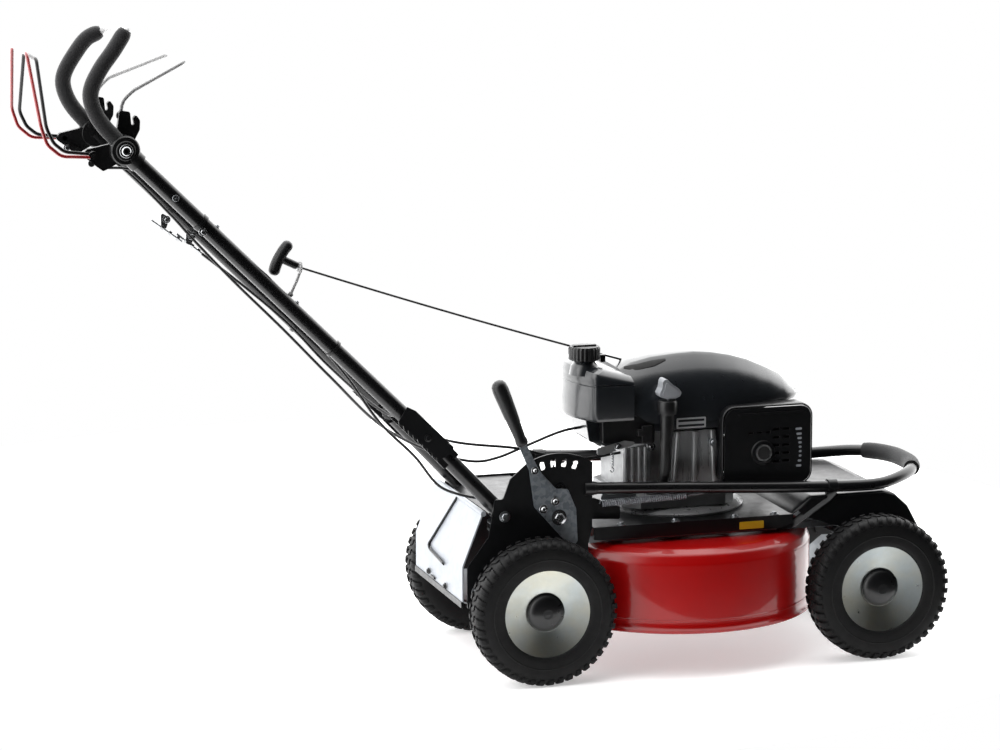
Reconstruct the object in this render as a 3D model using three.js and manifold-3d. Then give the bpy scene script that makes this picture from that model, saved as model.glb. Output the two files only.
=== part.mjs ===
// A walk-behind petrol mulching mower: a round red deck under a black chassis,
// a vertical-shaft engine, four steel-disc wheels on height-adjustable cranks,
// and a long folding tube handle with a looped grip and three bails.
// Millimetres, +Z up, +X forward. x = 0 is the middle of the whole machine's length.
import * as THREE from 'three';
import { mergeVertices } from 'three/addons/utils/BufferGeometryUtils.js';
import Module from 'manifold-3d';

const wasm = await Module();
wasm.setup();

// Driving dimensions. Lengths along X are measured from midway between the axles.
const MID_AXLES_X = 366.75;        // where midway between the axles sits in the part's frame
const WHEELBASE = 627;
const WHEEL_R = 130;
const TYRE_W = 64;
const RIM_R = 80;
const TRACK = 406;                // between the middles of left and right tyres
const AXLE_Z = WHEEL_R;
const CRANK_BACK = 44;            // the wheel trails its crank pivot by this much
const CRANK_DOWN = 34;            // and hangs this far below it, deck raised
const AXLE_R = 8;                 // solid cross bar of each axle
const STUB_R = 9;
const DECK_R = 250;
const DECK_BOTTOM = 80;
const DECK_TOP = 228;
const DECK_WALL = 4;
const PLATE_TOP = 262;            // top of the chassis plate
const PLATE_HALF_W = 160;
const SIDE_Y = 150;               // middle of each side plate
const SHEET = 3;
const ENGINE_X = -5;              // engine shaft
const ENGINE_Z = 276;             // engine mounting face
const TUBE_Y = 126;               // middle of each handle tube
const TUBE_R = 14;
const TUBE_WALL = 2;
const FOOT = { x: -361, z: 286 };       // handle tube's lower bolt
const FOLD = { x: -504, z: 438 };       // toothed joint between lower and upper handle
const TOP = { x: -1026, z: 957 };       // joint that carries the grip loop and the bails
const BAIL_PIVOT = { x: -1080, z: 950 };
const FRONT_PIVOT = { x: -1026, z: 1012 };
const LEVER_PIVOT = { x: -271, z: 285 };
const GAP = 0.3;                  // between pieces that touch

const REAR_PIVOT = { x: -WHEELBASE / 2 + CRANK_BACK, z: AXLE_Z + CRANK_DOWN };
const FRONT_AXLE_PIVOT = { x: WHEELBASE / 2 + CRANK_BACK, z: AXLE_Z + CRANK_DOWN };
const ROD_PIN = { x: -46, z: 73 };      // long rod's pins, from each crank pivot
const LINK_PIN = { x: 24, z: 13 };     // short link's pins, from lever and rear crank pivots

const PAINT_RED = { color: 0xb5070d, roughness: 0.22, metalness: 0.1 };
const PAINT_BLACK = { color: 0x14161a, roughness: 0.35, metalness: 0.2 };
const PLASTIC_BLACK = { color: 0x1b1e24, roughness: 0.45, metalness: 0.0 };
const FOAM = { color: 0x17181a, roughness: 0.85, metalness: 0.0 };
const ZINC = { color: 0xb9bcbd, roughness: 0.35, metalness: 0.8 };
const CAST_ALU = { color: 0xa2a5a8, roughness: 0.45, metalness: 0.7 };
const RUBBER = { color: 0x1d1f21, roughness: 0.8, metalness: 0.0 };
const SILVER_SHEET = { color: 0xd4d8da, roughness: 0.25, metalness: 0.3 };

const mower = new THREE.Group();
const machine = new THREE.Group();
machine.position.x = MID_AXLES_X;
mower.add(machine);

// Adds one named piece to the machine.
function piece(name, geometry, finish) {
  const mesh = new THREE.Mesh(geometry, new THREE.MeshStandardMaterial(finish));
  mesh.name = name;
  machine.add(mesh);
  return mesh;
}

function solid(geometry) {
  const bare = geometry.index ? geometry.toNonIndexed() : geometry.clone();
  bare.deleteAttribute('normal');
  bare.deleteAttribute('uv');
  const merged = mergeVertices(bare, 1e-3);
  return new wasm.Manifold(new wasm.Mesh({
    numProp: 3,
    vertProperties: new Float32Array(merged.attributes.position.array),
    triVerts: new Uint32Array(merged.index.array),
  }));
}

function geometryOf(manifold) {
  const mesh = manifold.getMesh();
  const geometry = new THREE.BufferGeometry();
  geometry.setAttribute('position', new THREE.BufferAttribute(new Float32Array(mesh.vertProperties), 3));
  geometry.setIndex(new THREE.BufferAttribute(new Uint32Array(mesh.triVerts), 1));
  geometry.computeVertexNormals();
  return geometry;
}

// Joins the first geometries and cuts the others out of them.
function build(joined, cut = []) {
  let result = solid(joined[0]);
  for (const g of joined.slice(1)) {
    result = result.add(solid(g));
  }
  for (const g of cut) {
    result = result.subtract(solid(g));
  }
  return geometryOf(result);
}

// A closed outline, always run anticlockwise so that its holes can run clockwise.
function outline(points, holes = []) {
  const corners = points.map(([u, v]) => new THREE.Vector2(u, v));
  if (THREE.ShapeUtils.isClockWise(corners)) {
    corners.reverse();
  }
  const shape = new THREE.Shape(corners);
  for (const hole of holes) {
    shape.holes.push(hole);
  }
  return shape;
}

// The outline of a bent sheet: a line of points and the same line moved aside by the thickness.
function sheetOutline(points, thickness) {
  const p = points.map(([u, v]) => new THREE.Vector2(u, v));
  const aside = p.map((q, i) => {
    const before = q.clone().sub(p[Math.max(i - 1, 0)]).normalize();
    const after = p[Math.min(i + 1, p.length - 1)].clone().sub(q).normalize();
    const run = before.add(after).normalize();
    const leg = i === 0 ? run : q.clone().sub(p[i - 1]).normalize();
    const reach = thickness / Math.max(run.dot(leg), 0.5);
    return [q.x + run.y * reach, q.y - run.x * reach];
  });
  return outline([...points, ...aside.reverse()]);
}

function circlePath(u, v, r) {
  const path = new THREE.Path();
  path.absarc(u, v, r, 0, Math.PI * 2, true);
  return path;
}

// An outline in the XZ plane, given thickness along Y from y0 to y1.
function slabY(shape, y0, y1, curveSegments = 8) {
  const g = new THREE.ExtrudeGeometry(shape, { depth: y1 - y0, bevelEnabled: false, curveSegments });
  g.rotateX(Math.PI / 2);
  g.translate(0, y1, 0);
  return g;
}

// An outline in the XY plane, given thickness along Z from z0 to z1.
function slabZ(shape, z0, z1, curveSegments = 8) {
  const g = new THREE.ExtrudeGeometry(shape, { depth: z1 - z0, bevelEnabled: false, curveSegments });
  g.translate(0, 0, z0);
  return g;
}

function box(x0, x1, y0, y1, z0, z1) {
  const g = new THREE.BoxGeometry(x1 - x0, y1 - y0, z1 - z0);
  g.translate((x0 + x1) / 2, (y0 + y1) / 2, (z0 + z1) / 2);
  return g;
}

function rodY(x, z, r, y0, y1, segments = 16) {
  const g = new THREE.CylinderGeometry(r, r, y1 - y0, segments);
  g.translate(x, (y0 + y1) / 2, z);
  return g;
}

function rodZ(x, y, r, z0, z1, segments = 24, rTop = r) {
  const g = new THREE.CylinderGeometry(rTop, r, z1 - z0, segments);
  g.rotateX(Math.PI / 2);
  g.translate(x, y, (z0 + z1) / 2);
  return g;
}

// A turned shape about a line along Y; profile points are [radius, y].
function turnedY(profile, x, z, segments = 36) {
  const g = new THREE.LatheGeometry(profile.map(([r, y]) => new THREE.Vector2(r, y)), segments);
  g.translate(x, 0, z);
  return g;
}

// A turned shape about a vertical line; profile points are [radius, z].
function turnedZ(profile, x, y, segments = 36) {
  const g = new THREE.LatheGeometry(profile.map(([r, z]) => new THREE.Vector2(r, z)), segments);
  g.rotateX(Math.PI / 2);
  g.translate(x, y, 0);
  return g;
}

// A path of straight runs with rounded corners; bends holds one size for each inner corner.
function bentPath(points, bends) {
  const path = new THREE.CurvePath();
  const p = points.map((q) => new THREE.Vector3(...q));
  let start = p[0];
  for (let i = 1; i < p.length - 1; i += 1) {
    const into = p[i - 1].clone().sub(p[i]);
    const out = p[i + 1].clone().sub(p[i]);
    const reach = Math.min(bends[i - 1], into.length() * 0.45, out.length() * 0.45);
    const a = p[i].clone().add(into.setLength(reach));
    const b = p[i].clone().add(out.setLength(reach));
    path.add(new THREE.LineCurve3(start, a));
    path.add(new THREE.QuadraticBezierCurve3(a, p[i], b));
    start = b;
  }
  path.add(new THREE.LineCurve3(start, p[p.length - 1]));
  return path;
}

function smoothPath(points) {
  return new THREE.CatmullRomCurve3(points.map((q) => new THREE.Vector3(...q)), false, 'centripetal');
}

function ringShape(r, wall, sides) {
  const shape = new THREE.Shape();
  const angle = (i) => (i * 2 * Math.PI) / sides;
  const at = (radius, i) => new THREE.Vector2(radius * Math.cos(angle(i)), radius * Math.sin(angle(i)));
  shape.setFromPoints(Array.from({ length: sides }, (_, i) => at(r, i)));
  if (wall > 0) {
    shape.holes.push(new THREE.Path(Array.from({ length: sides }, (_, i) => at(r - wall, -i))));
  }
  return shape;
}

// A bar or, where wall is over 0, an open-ended tube along a path.
function tube(path, r, steps, { wall = 0, sides = 10 } = {}) {
  return new THREE.ExtrudeGeometry(ringShape(r, wall, sides), {
    extrudePath: path, steps, bevelEnabled: false, curveSegments: 1,
  });
}

function straightTube(a, b, r, wall = 0, sides = 12) {
  return tube(new THREE.LineCurve3(new THREE.Vector3(...a), new THREE.Vector3(...b)), r, 1, { wall, sides });
}

const mirrored = (points) => points.map(([x, y, z]) => [x, -y, z]);
const sideName = (side) => (side < 0 ? 'right' : 'left');

// ---- Deck -----------------------------------------------------------------

function addDeck() {
  const inner = DECK_R - DECK_WALL;
  const shell = turnedZ([
    [inner - 2, DECK_BOTTOM], [DECK_R + 3, DECK_BOTTOM], [DECK_R + 3, DECK_BOTTOM + 6],
    [DECK_R, DECK_BOTTOM + 10], [DECK_R, DECK_TOP - 26], [DECK_R - 8, DECK_TOP - 8],
    [DECK_R - 24, DECK_TOP], [32, DECK_TOP], [32, DECK_TOP - DECK_WALL],
    [inner - 22, DECK_TOP - DECK_WALL], [inner - 6, DECK_TOP - 12], [inner - 2, DECK_TOP - 26],
    [inner - 2, DECK_BOTTOM],
  ], ENGINE_X, 0, 40);
  piece('deck_shell', shell, PAINT_RED);
}

// The chassis plate: a folded sheet with a raised nose and a hole for the shaft.
function addChassisPlate() {
  const half = PLATE_HALF_W;
  const top = slabZ(outline([
    [-206, -half], [168, -half], [168, half], [-206, half],
  ], [circlePath(ENGINE_X, 0, 34)]), PLATE_TOP - SHEET, PLATE_TOP, 10);
  const flange = outline([[-206, 240], [-190, 238], [145, 238], [168, 246], [168, PLATE_TOP], [-206, PLATE_TOP]]);
  const right = slabY(flange, -half, -half + SHEET);
  const left = slabY(flange, half - SHEET, half);
  const posts = [];
  for (const [x, y] of [[-150, -110], [-150, 110], [140, -110], [140, 110]]) {
    posts.push(rodZ(x, y, 14, DECK_TOP + GAP, PLATE_TOP - SHEET / 2, 12));
  }
  piece('chassis_plate', build([top, right, left, ...posts]), PAINT_BLACK);
}

// The nose: a folded cover from the chassis plate down over the front axle.
function addFrontHood() {
  const skin = slabY(sheetOutline([[169, 264], [205, 291], [345, 291], [368, 284], [392, 262],
    [414, 222]], 4), -154, 154);
  const cheek = outline([[173, 264], [206, 289], [344, 289], [366, 282], [390, 260], [411, 223],
    [366, 214], [333, 214], [240, 238], [200, 252]]);
  const hub = circlePath(FRONT_AXLE_PIVOT.x, FRONT_AXLE_PIVOT.z, AXLE_R + GAP);
  const hanger = outline([[318, 222], [389, 222], [376, 144], [339, 144]], [hub]);
  const parts = [skin];
  for (const side of [-1, 1]) {
    const y = [side * 150, side * 153].sort((a, b) => a - b);
    parts.push(slabY(cheek, y[0], y[1]));
    parts.push(slabY(hanger, y[0], y[1], 12));
  }
  piece('front_hood', build(parts), PAINT_BLACK);
}

function addSidePlates() {
  const lowerEdge = [[-436, 128], [-330, 128], [-318, 142], [-248, 142], [-214, 178], [-214, 232]];
  const axleHole = () => circlePath(REAR_PIVOT.x, REAR_PIVOT.z, AXLE_R + GAP);
  // The right plate carries the height scale, so its top is an arc about the lever pivot.
  const right = new THREE.Shape();
  right.moveTo(...lowerEdge[0]);
  for (const point of lowerEdge.slice(1)) {
    right.lineTo(...point);
  }
  right.lineTo(-207, 262);
  right.lineTo(-207, 378);
  right.absarc(LEVER_PIVOT.x, LEVER_PIVOT.z, 113, 0.96, 2.1, false);
  right.lineTo(-358, 357);
  right.lineTo(-371, 322);
  right.lineTo(-386, 322);
  right.lineTo(-397, 256);
  right.lineTo(-436, 204);
  right.closePath();
  right.holes.push(axleHole());
  right.holes.push(circlePath(LEVER_PIVOT.x, LEVER_PIVOT.z, 6.2));
  for (const degrees of [-28.8, -16.8, -4.9, 7.1, 19.4]) {
    const a = THREE.MathUtils.degToRad(90 - degrees);
    right.holes.push(circlePath(LEVER_PIVOT.x + 98 * Math.cos(a), LEVER_PIVOT.z + 98 * Math.sin(a), 4.5));
  }
  piece('side_plate_right', slabY(right, -SIDE_Y - SHEET / 2, -SIDE_Y + SHEET / 2, 7), PAINT_BLACK);
  const left = outline([...lowerEdge, [-207, 262], [-207, 290], [-240, 301], [-376, 301], [-387, 296],
    [-397, 256], [-436, 204]], [axleHole()]);
  piece('side_plate_left', slabY(left, SIDE_Y - SHEET / 2, SIDE_Y + SHEET / 2, 7), PAINT_BLACK);
}

// A folded cover between the side plates, behind the engine.
function addRearCover() {
  const y = SIDE_Y - SHEET / 2 - GAP;
  const cover = sheetOutline([[-384, 289], [-352, 298], [-266, 298], [-238, 272], [-230, 268], [-216, 268]], 4);
  const tubeSlots = [box(-390, -340, -y - 5, 18 - TUBE_Y, 270, 310), box(-390, -340, TUBE_Y - 18, y + 5, 270, 310)];
  piece('rear_cover', build([slabY(cover, -y, y)], tubeSlots), PAINT_BLACK);
}

// The rear deflector hangs from a hinge rod between the side plates.
const FLAP_HINGE = { x: -405, z: 297 };

function addFlap() {
  const sheet = sheetOutline([[-444, 132], [-444, 205], [-408, 297]], 4);
  const y = SIDE_Y - 4;
  const knuckle = rodY(FLAP_HINGE.x, FLAP_HINGE.z, 5, -y, y, 10);
  piece('rear_flap', build([slabY(sheet, -y, y), knuckle]), SILVER_SHEET);
}

// ---- Bumper bar -------------------------------------------------------------

const BAR_R = 10.5;
const BAR_FRONT = [[300, -146, 303], [345, -143, 304], [390, -121, 309], [425, -86, 312], [444, -40, 313],
  [447, 0, 313], [444, 40, 313], [425, 86, 312], [390, 121, 309], [345, 143, 304], [300, 146, 303]];

function addGuard() {
  const legs = smoothPath([[-200, -146, 330], ...BAR_FRONT, [-200, 146, 330]]);
  const steps = 44;
  const points = legs.getSpacedPoints(steps).map((p) => [p.x, p.y, p.z]);
  const bar = tube(smoothPath(points), BAR_R, steps, { wall: 2, sides: 8 });
  // Each leg has a lug on its side plate and a saddle over the nose.
  const brackets = [];
  for (const side of [-1, 1]) {
    const lug = [side * 141, side * 148.2].sort((a, b) => a - b);
    brackets.push(box(-228, -196, lug[0], lug[1], 322, 338));
    brackets.push(box(236, 256, lug[0], lug[1], 291.4, 300));
  }
  piece('guard_bar', build([bar, ...brackets]), PAINT_BLACK);
  // The foam sleeve covers the front, further round on the left than on the right.
  const covered = points.slice(20, 27);
  const grip = tube(smoothPath(covered), BAR_R + 5, covered.length - 1, { wall: 3.4, sides: 8 });
  piece('guard_grip', grip, FOAM);
}

// ---- Engine -----------------------------------------------------------------

function addEngineBlock() {
  const ring = turnedZ([[36, PLATE_TOP + GAP], [98, PLATE_TOP + GAP], [98, 268], [92, ENGINE_Z - GAP],
    [36, ENGINE_Z - GAP], [36, PLATE_TOP + GAP]], ENGINE_X, 0, 32);
  piece('engine_flange', ring, ZINC);

  const base = slabZ(outline([[-128, -80], [-100, -104], [60, -104], [84, -80], [84, 80], [60, 104],
    [-100, 104], [-128, 80]]), ENGINE_Z, 300);
  const body = slabZ(outline([[-118, -66], [-90, -92], [48, -92], [66, -70], [66, 70], [48, 92],
    [-90, 92], [-118, 66]]), 298, 418);
  const bore = rodZ(ENGINE_X, 0, 14.6, ENGINE_Z - 5, 430, 24);
  const cavity = rodZ(ENGINE_X, 0, 60, 312, 396, 24);
  const ribs = [];
  for (const x of [-84, -48, 8, 40]) {
    ribs.push(box(x - 4, x + 4, -99, 99, 299, 412));
  }
  piece('crankcase', build([base, body, ...ribs], [bore, cavity]), CAST_ALU);

  const fins = [];
  for (let i = 0; i < 6; i += 1) {
    const x = 84 + i * 14;
    fins.push(box(x, x + 5, -62, 62, 302, 414));
  }
  const barrel = new THREE.CylinderGeometry(42, 42, 94, 20);
  barrel.rotateZ(Math.PI / 2);
  barrel.translate(66 + GAP + 47, 0, 358);
  const head = box(156, 176, -58, 58, 306, 410);
  piece('cylinder', build([barrel, head, ...fins]), CAST_ALU);

}

function roundedPlan(x0, x1, y0, y1, r) {
  const s = new THREE.Shape();
  s.absarc(x1 - r, y1 - r, r, 0, Math.PI / 2, false);
  s.absarc(x0 + r, y1 - r, r, Math.PI / 2, Math.PI, false);
  s.absarc(x0 + r, y0 + r, r, Math.PI, Math.PI * 1.5, false);
  s.absarc(x1 - r, y0 + r, r, Math.PI * 1.5, Math.PI * 2, false);
  return s;
}

const TANK_TOP = 536;
const TANK_REAR = -218;           // the tank's rear face bows out to here
const CAP_AXIS = { x: -195, y: -68 };

function addEngineCovers() {
  const tankPlan = [[-132 - GAP, -118], [-132 - GAP, 118], [-152, 118], [-166, 110]];
  for (let y = 98; y >= -110; y -= 16) {
    tankPlan.push([TANK_REAR + ((y + 23) ** 2) / 329, y]);
  }
  tankPlan.push([-184, -118]);
  const tank = slabZ(outline(tankPlan), 430, TANK_TOP, 6);
  const neck = rodZ(CAP_AXIS.x, CAP_AXIS.y, 16, TANK_TOP - 2, TANK_TOP + 8, 20);
  piece('fuel_tank', build([tank, neck]), PLASTIC_BLACK);
  piece('fuel_cap', rodZ(CAP_AXIS.x, CAP_AXIS.y, 28, TANK_TOP + 8 + GAP, 571, 24, 27), PLASTIC_BLACK);

  // The blower housing is a drum round the flywheel, open underneath.
  const drum = slabZ(roundedPlan(-132, 104, -113, 113, 99), 419, 520, 7);
  const hollow = rodZ(ENGINE_X, 0, 100, 400, 515, 28);
  piece('blower_housing', build([drum], [hollow]), PLASTIC_BLACK);

  // The teardrop top cowl sits on the drum and falls to a pointed nose in front of it.
  const profile = new THREE.Shape();
  profile.moveTo(-118, 520 + GAP);
  profile.lineTo(104 + GAP, 520 + GAP);
  profile.lineTo(104 + GAP, 440);
  profile.quadraticCurveTo(196, 444, 212, 458);
  profile.lineTo(212, 466);
  profile.quadraticCurveTo(128, 548, 10, 549);
  profile.quadraticCurveTo(-60, 551, -112, 534);
  profile.closePath();
  const rise = slabY(profile, -98, 98, 7);
  const plan = slabZ(roundedPlan(-120, 214, -98, 98, 80), 430, 580, 7);
  const scoop = box(-130, -84, -34, -6, 519, 546);
  const cowl = solid(rise).intersect(solid(plan)).subtract(solid(rodZ(ENGINE_X, 0, 84, 500, 540, 24)))
    .subtract(solid(scoop));
  piece('engine_cowl', geometryOf(cowl), PLASTIC_BLACK);
}

function addExhaust() {
  const half = { x0: 44, x1: 212, y0: -133, y1: -107, z0: 312, z1: 455 };
  const shell = slabY(roundedPlan(half.x0, half.x1, half.z0, half.z1, 12), half.y0, half.y1, 3);
  const inside = box(half.x0 + 3, half.x1 - 3, half.y0 + 3, half.y1 + 5, half.z0 + 3, half.z1 - 3);
  const slots = [];
  for (let row = 0; row < 5; row += 1) {
    const z = 350 + row * 15;
    slots.push(box(150, 196, half.y0 - 5, half.y0 + 8, z, z + 6));
  }
  for (let row = 0; row < 6; row += 1) {
    const z = 336 + row * 18;
    slots.push(box(half.x1 - 8, half.x1 + 5, -126, -106, z, z + 8));
  }
  const outlet = rodY(119, 372, 15, half.y0 - 5, half.y0 + 8, 20);
  piece('muffler_guard', build([shell], [inside, ...slots, outlet]), PAINT_BLACK);

  const can = slabY(roundedPlan(78, 198, 326, 440, 26), -127, -104, 5);
  const pipe = rodY(119, 372, 12, -137, -126, 16);
  const inlet = rodY(170, 358, 8, -105, -58 - GAP, 12);
  piece('muffler', build([can, pipe, inlet]), CAST_ALU);
}

function addAirCleaner() {
  const cleaner = slabY(roundedPlan(-112, 34, 343, 416, 20), 132, 168, 4);
  const throat = rodY(-20, 372, 15, 99 + GAP, 134, 14);
  piece('air_cleaner', build([cleaner, throat]), PLASTIC_BLACK);
}

const DIPSTICK = { x: -55, y: -133 };

function addOilFiller() {
  const path = smoothPath([[-66, -93.5, 312], [-66, -104, 312.5], [-63, -121, 326], [-58, -131, 368],
    [DIPSTICK.x, DIPSTICK.y, 420], [DIPSTICK.x, DIPSTICK.y, 476]]);
  piece('oil_filler_tube', tube(path, 11, 10, { wall: 2.5, sides: 8 }), PLASTIC_BLACK);
  const cap = rodZ(DIPSTICK.x, DIPSTICK.y, 19, 476 + GAP, 497, 16, 15);
  const stick = rodZ(DIPSTICK.x, DIPSTICK.y, 3, 396, 478, 8);
  piece('oil_dipstick', build([cap, stick]), CAST_ALU);
}

// The crankshaft, with everything that turns with it.
function addRotatingParts() {
  const shaft = turnedZ([[0, 108], [12.5, 108], [12.5, 210], [14, 212], [14, 484], [8, 488], [0, 488]], ENGINE_X, 0, 20);
  const web = rodZ(ENGINE_X, 0, 44, 330, 376, 24);
  piece('crankshaft', build([shaft, web]), ZINC);
  const flywheel = turnedZ([[14 + GAP, 436], [88, 436], [94, 448], [94, 478], [40, 484], [14 + GAP, 484],
    [14 + GAP, 436]], ENGINE_X, 0, 24);
  piece('flywheel', flywheel, CAST_ALU);
  const reach = 232;
  const bar = slabZ(outline([
    [-reach, -30], [-reach + 30, -27], [-40, -27], [40, -33], [reach - 66, -30], [reach, -30], [reach, 14],
    [reach - 30, 27], [40, 27], [-40, 33], [-reach + 66, 30], [-reach, 30],
  ]), 98, 103);
  const lift = [];
  for (const side of [-1, 1]) {
    const x = [side * 150, side * 226].sort((a, b) => a - b);
    const wing = box(x[0], x[1], -3, 3, 0, 20);
    wing.rotateX(side * 0.5);
    wing.translate(0, side * 26, 101);
    lift.push(wing);
  }
  const blade = [bar, ...lift];
  for (const g of blade) {
    g.translate(ENGINE_X, 0, 0);
  }
  piece('mulching_blade', build(blade), ZINC);
  const hub = build([rodZ(ENGINE_X, 0, 30, 103 + GAP, 120, 24), rodZ(ENGINE_X, 0, 21, 119, 160, 20)],
    [rodZ(ENGINE_X, 0, 12.8, 108 - GAP, 165, 20)]);
  piece('blade_hub', hub, CAST_ALU);
}

// ---- Drive to the rear --------------------------------------------------------

const GEARBOX = { x: -306, z0: 252, z1: 290 };
const DRIVE_R = 31;               // engine pulley
const DRIVEN_R = 46;              // gearbox pulley
const BELT_Z = 240;

function grooved(r, bore) {
  return [[bore, BELT_Z - 8], [r, BELT_Z - 8], [r, BELT_Z - 5.5], [r - 8, BELT_Z - 1], [r - 8, BELT_Z + 1],
    [r, BELT_Z + 5.5], [r, BELT_Z + 8], [bore, BELT_Z + 8], [bore, BELT_Z - 8]];
}

// A loop round two circles on the X axis, the larger circle behind.
function beltLoop(grow) {
  const front = DRIVE_R - 4 + grow;
  const rear = DRIVEN_R - 4 + grow;
  const lean = Math.acos((front - rear) / (ENGINE_X - GEARBOX.x));
  return { front, rear, lean };
}

function addDrive() {
  piece('drive_pulley', turnedZ(grooved(DRIVE_R, 14 + GAP), ENGINE_X, 0, 24), CAST_ALU);
  piece('gearbox_pulley', turnedZ(grooved(DRIVEN_R, 8 + GAP), GEARBOX.x, 0, 28), CAST_ALU);

  const outer = beltLoop(4);
  const belt = new THREE.Shape();
  belt.absarc(ENGINE_X, 0, outer.front, -outer.lean, outer.lean, false);
  belt.absarc(GEARBOX.x, 0, outer.rear, outer.lean, 2 * Math.PI - outer.lean, false);
  const inner = beltLoop(0);
  const inside = new THREE.Path();
  inside.absarc(GEARBOX.x, 0, inner.rear, 2 * Math.PI - inner.lean, inner.lean, true);
  inside.absarc(ENGINE_X, 0, inner.front, inner.lean, -inner.lean, true);
  belt.holes.push(inside);
  piece('drive_belt', slabZ(belt, BELT_Z - 2.5, BELT_Z + 2.5, 10), RUBBER);

  const body = slabZ(roundedPlan(GEARBOX.x - 34, GEARBOX.x + 34, -40, 40, 12), GEARBOX.z0, GEARBOX.z1, 4);
  const shaft = rodZ(GEARBOX.x, 0, 8, 230, 260, 14);
  const end = SIDE_Y - SHEET / 2 - GAP;
  const crossBar = box(GEARBOX.x - 9, GEARBOX.x + 9, -end, end, 272, 278);
  piece('gearbox', build([body, shaft, crossBar]), CAST_ALU);
}

// ---- Height adjustment ----------------------------------------------------------

// A bar's outline with round ends about two points.
function barOutline(a, b, width) {
  const angle = Math.atan2(b.z - a.z, b.x - a.x);
  const shape = new THREE.Shape();
  shape.absarc(a.x, a.z, width / 2, angle + Math.PI / 2, angle + Math.PI * 1.5, false);
  shape.absarc(b.x, b.z, width / 2, angle - Math.PI / 2, angle + Math.PI / 2, false);
  return shape;
}

// A flat bar with a hole at each end.
function linkBar(a, b, width, y0, y1, holeR) {
  const shape = barOutline(a, b, width);
  shape.holes.push(circlePath(a.x, a.z, holeR), circlePath(b.x, b.z, holeR));
  return slabY(shape, y0, y1, 5);
}

// A welded axle: cross bar, a crank at each end with a stub for its wheel, and arms for the rods.
function axle(pivot, withLinkPin) {
  const wheel = { x: pivot.x - CRANK_BACK, z: AXLE_Z };
  const armIn = 159.3;
  const armOut = 165;
  const parts = [rodY(pivot.x, pivot.z, AXLE_R, -armOut, armOut, 16)];
  for (const side of [-1, 1]) {
    const span = (a, b) => [side * a, side * b].sort((p, q) => p - q);
    parts.push(slabY(barOutline(pivot, wheel, 28), ...span(armIn, armOut), 4));
    parts.push(rodY(wheel.x, wheel.z, STUB_R, ...span(armIn + 1, 231), 16));
    parts.push(rodY(wheel.x, wheel.z, 14, ...span(armOut - 1, 170), 16));
  }
  const rodPin = offset(pivot, ROD_PIN);
  parts.push(slabY(barOutline(pivot, rodPin, 13), -138, -133, 3));
  parts.push(rodY(rodPin.x, rodPin.z, 3.5, -146, -134, 12));
  if (withLinkPin) {
    const pin = offset(pivot, LINK_PIN);
    parts.push(slabY(barOutline(pivot, pin, 15), -armOut, -armIn, 3));
    parts.push(rodY(pin.x, pin.z, 3.5, -armIn - 1, -152.2, 12));
  }
  return build(parts);
}

const offset = (p, d) => ({ x: p.x + d.x, z: p.z + d.z });

function addHeightGear() {
  piece('rear_axle', axle(REAR_PIVOT, true), PAINT_BLACK);
  piece('front_axle', axle(FRONT_AXLE_PIVOT, false), PAINT_BLACK);
  piece('height_rod', linkBar(offset(REAR_PIVOT, ROD_PIN), offset(FRONT_AXLE_PIVOT, ROD_PIN), 12,
    -142.5, -138.5, 4.2), ZINC);
  piece('height_link', linkBar(offset(LEVER_PIVOT, LINK_PIN), offset(REAR_PIVOT, LINK_PIN), 12,
    -154.7, -152.3, 4.2), ZINC);

  const plate = outline([[-328, 376], [-310, 376], [-276, 336], [-254, 334], [-239, 298], [-236, 240],
    [-243, 232], [-256, 238], [-314, 306]]);
  const shank = outline([[-345, 418], [-334, 424], [-309, 372], [-322, 366]]);
  const lower = offset(LEVER_PIVOT, LINK_PIN);
  const lever = build([
    slabY(plate, -159, -155.2), slabY(shank, -160, -155.2),
    rodY(LEVER_PIVOT.x, LEVER_PIVOT.z, 5.8, -160, -149, 14),
    rodY(LEVER_PIVOT.x, LEVER_PIVOT.z, 12, -164, -158.5, 14),
    rodY(lower.x, lower.z, 3.5, -156, -152, 12),
  ]);
  piece('height_lever', lever, ZINC);
  const foot = new THREE.Vector3(-337, -158, 420.5);
  const head = new THREE.Vector3(-384, -158, 533);
  const grip = new THREE.CylinderGeometry(14.5, 10, foot.distanceTo(head), 16);
  grip.applyQuaternion(new THREE.Quaternion().setFromUnitVectors(
    new THREE.Vector3(0, 1, 0), head.clone().sub(foot).normalize()));
  grip.translate((foot.x + head.x) / 2, foot.y, (foot.z + head.z) / 2);
  piece('height_lever_grip', build([grip], [slabY(shank, -161, -154.2)]), PLASTIC_BLACK);
}

// ---- Wheels -----------------------------------------------------------------

function addWheel(end, side) {
  const x = (end === 'front' ? 1 : -1) * WHEELBASE / 2;
  const out = (TRACK + TYRE_W) / 2;          // outer face of the tyre
  const inn = (TRACK - TYRE_W) / 2;
  const flip = (profile) => (side > 0 ? profile : profile.map(([r, y]) => [r, -y]).reverse());
  const name = `${end}_${sideName(side)}`;
  const tyre = flip([
    [RIM_R, inn + 4], [WHEEL_R - 18, inn], [WHEEL_R - 5, inn + 7], [WHEEL_R, inn + 18], [WHEEL_R, out - 18],
    [WHEEL_R - 5, out - 7], [WHEEL_R - 18, out], [RIM_R + 6, out - 1], [RIM_R, out - 5], [RIM_R, inn + 4],
  ]);
  piece(`tyre_${name}`, turnedY(tyre, x, AXLE_Z, 28), RUBBER);
  const bead = RIM_R - 1;
  const hubR = STUB_R + GAP;
  const rim = flip([
    [hubR, inn + 2], [20, inn + 2], [24, out - 26], [60, out - 14], [72, out - 17], [bead - 3, inn + 6],
    [bead, inn + 6], [bead, out - 4], [bead - 6, out - 2], [68, out - 9], [20, out - 20], [20, out - 3],
    [hubR, out - 3], [hubR, inn + 2],
  ]);
  piece(`rim_${name}`, turnedY(rim, x, AXLE_Z, 24), ZINC);
}

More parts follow.
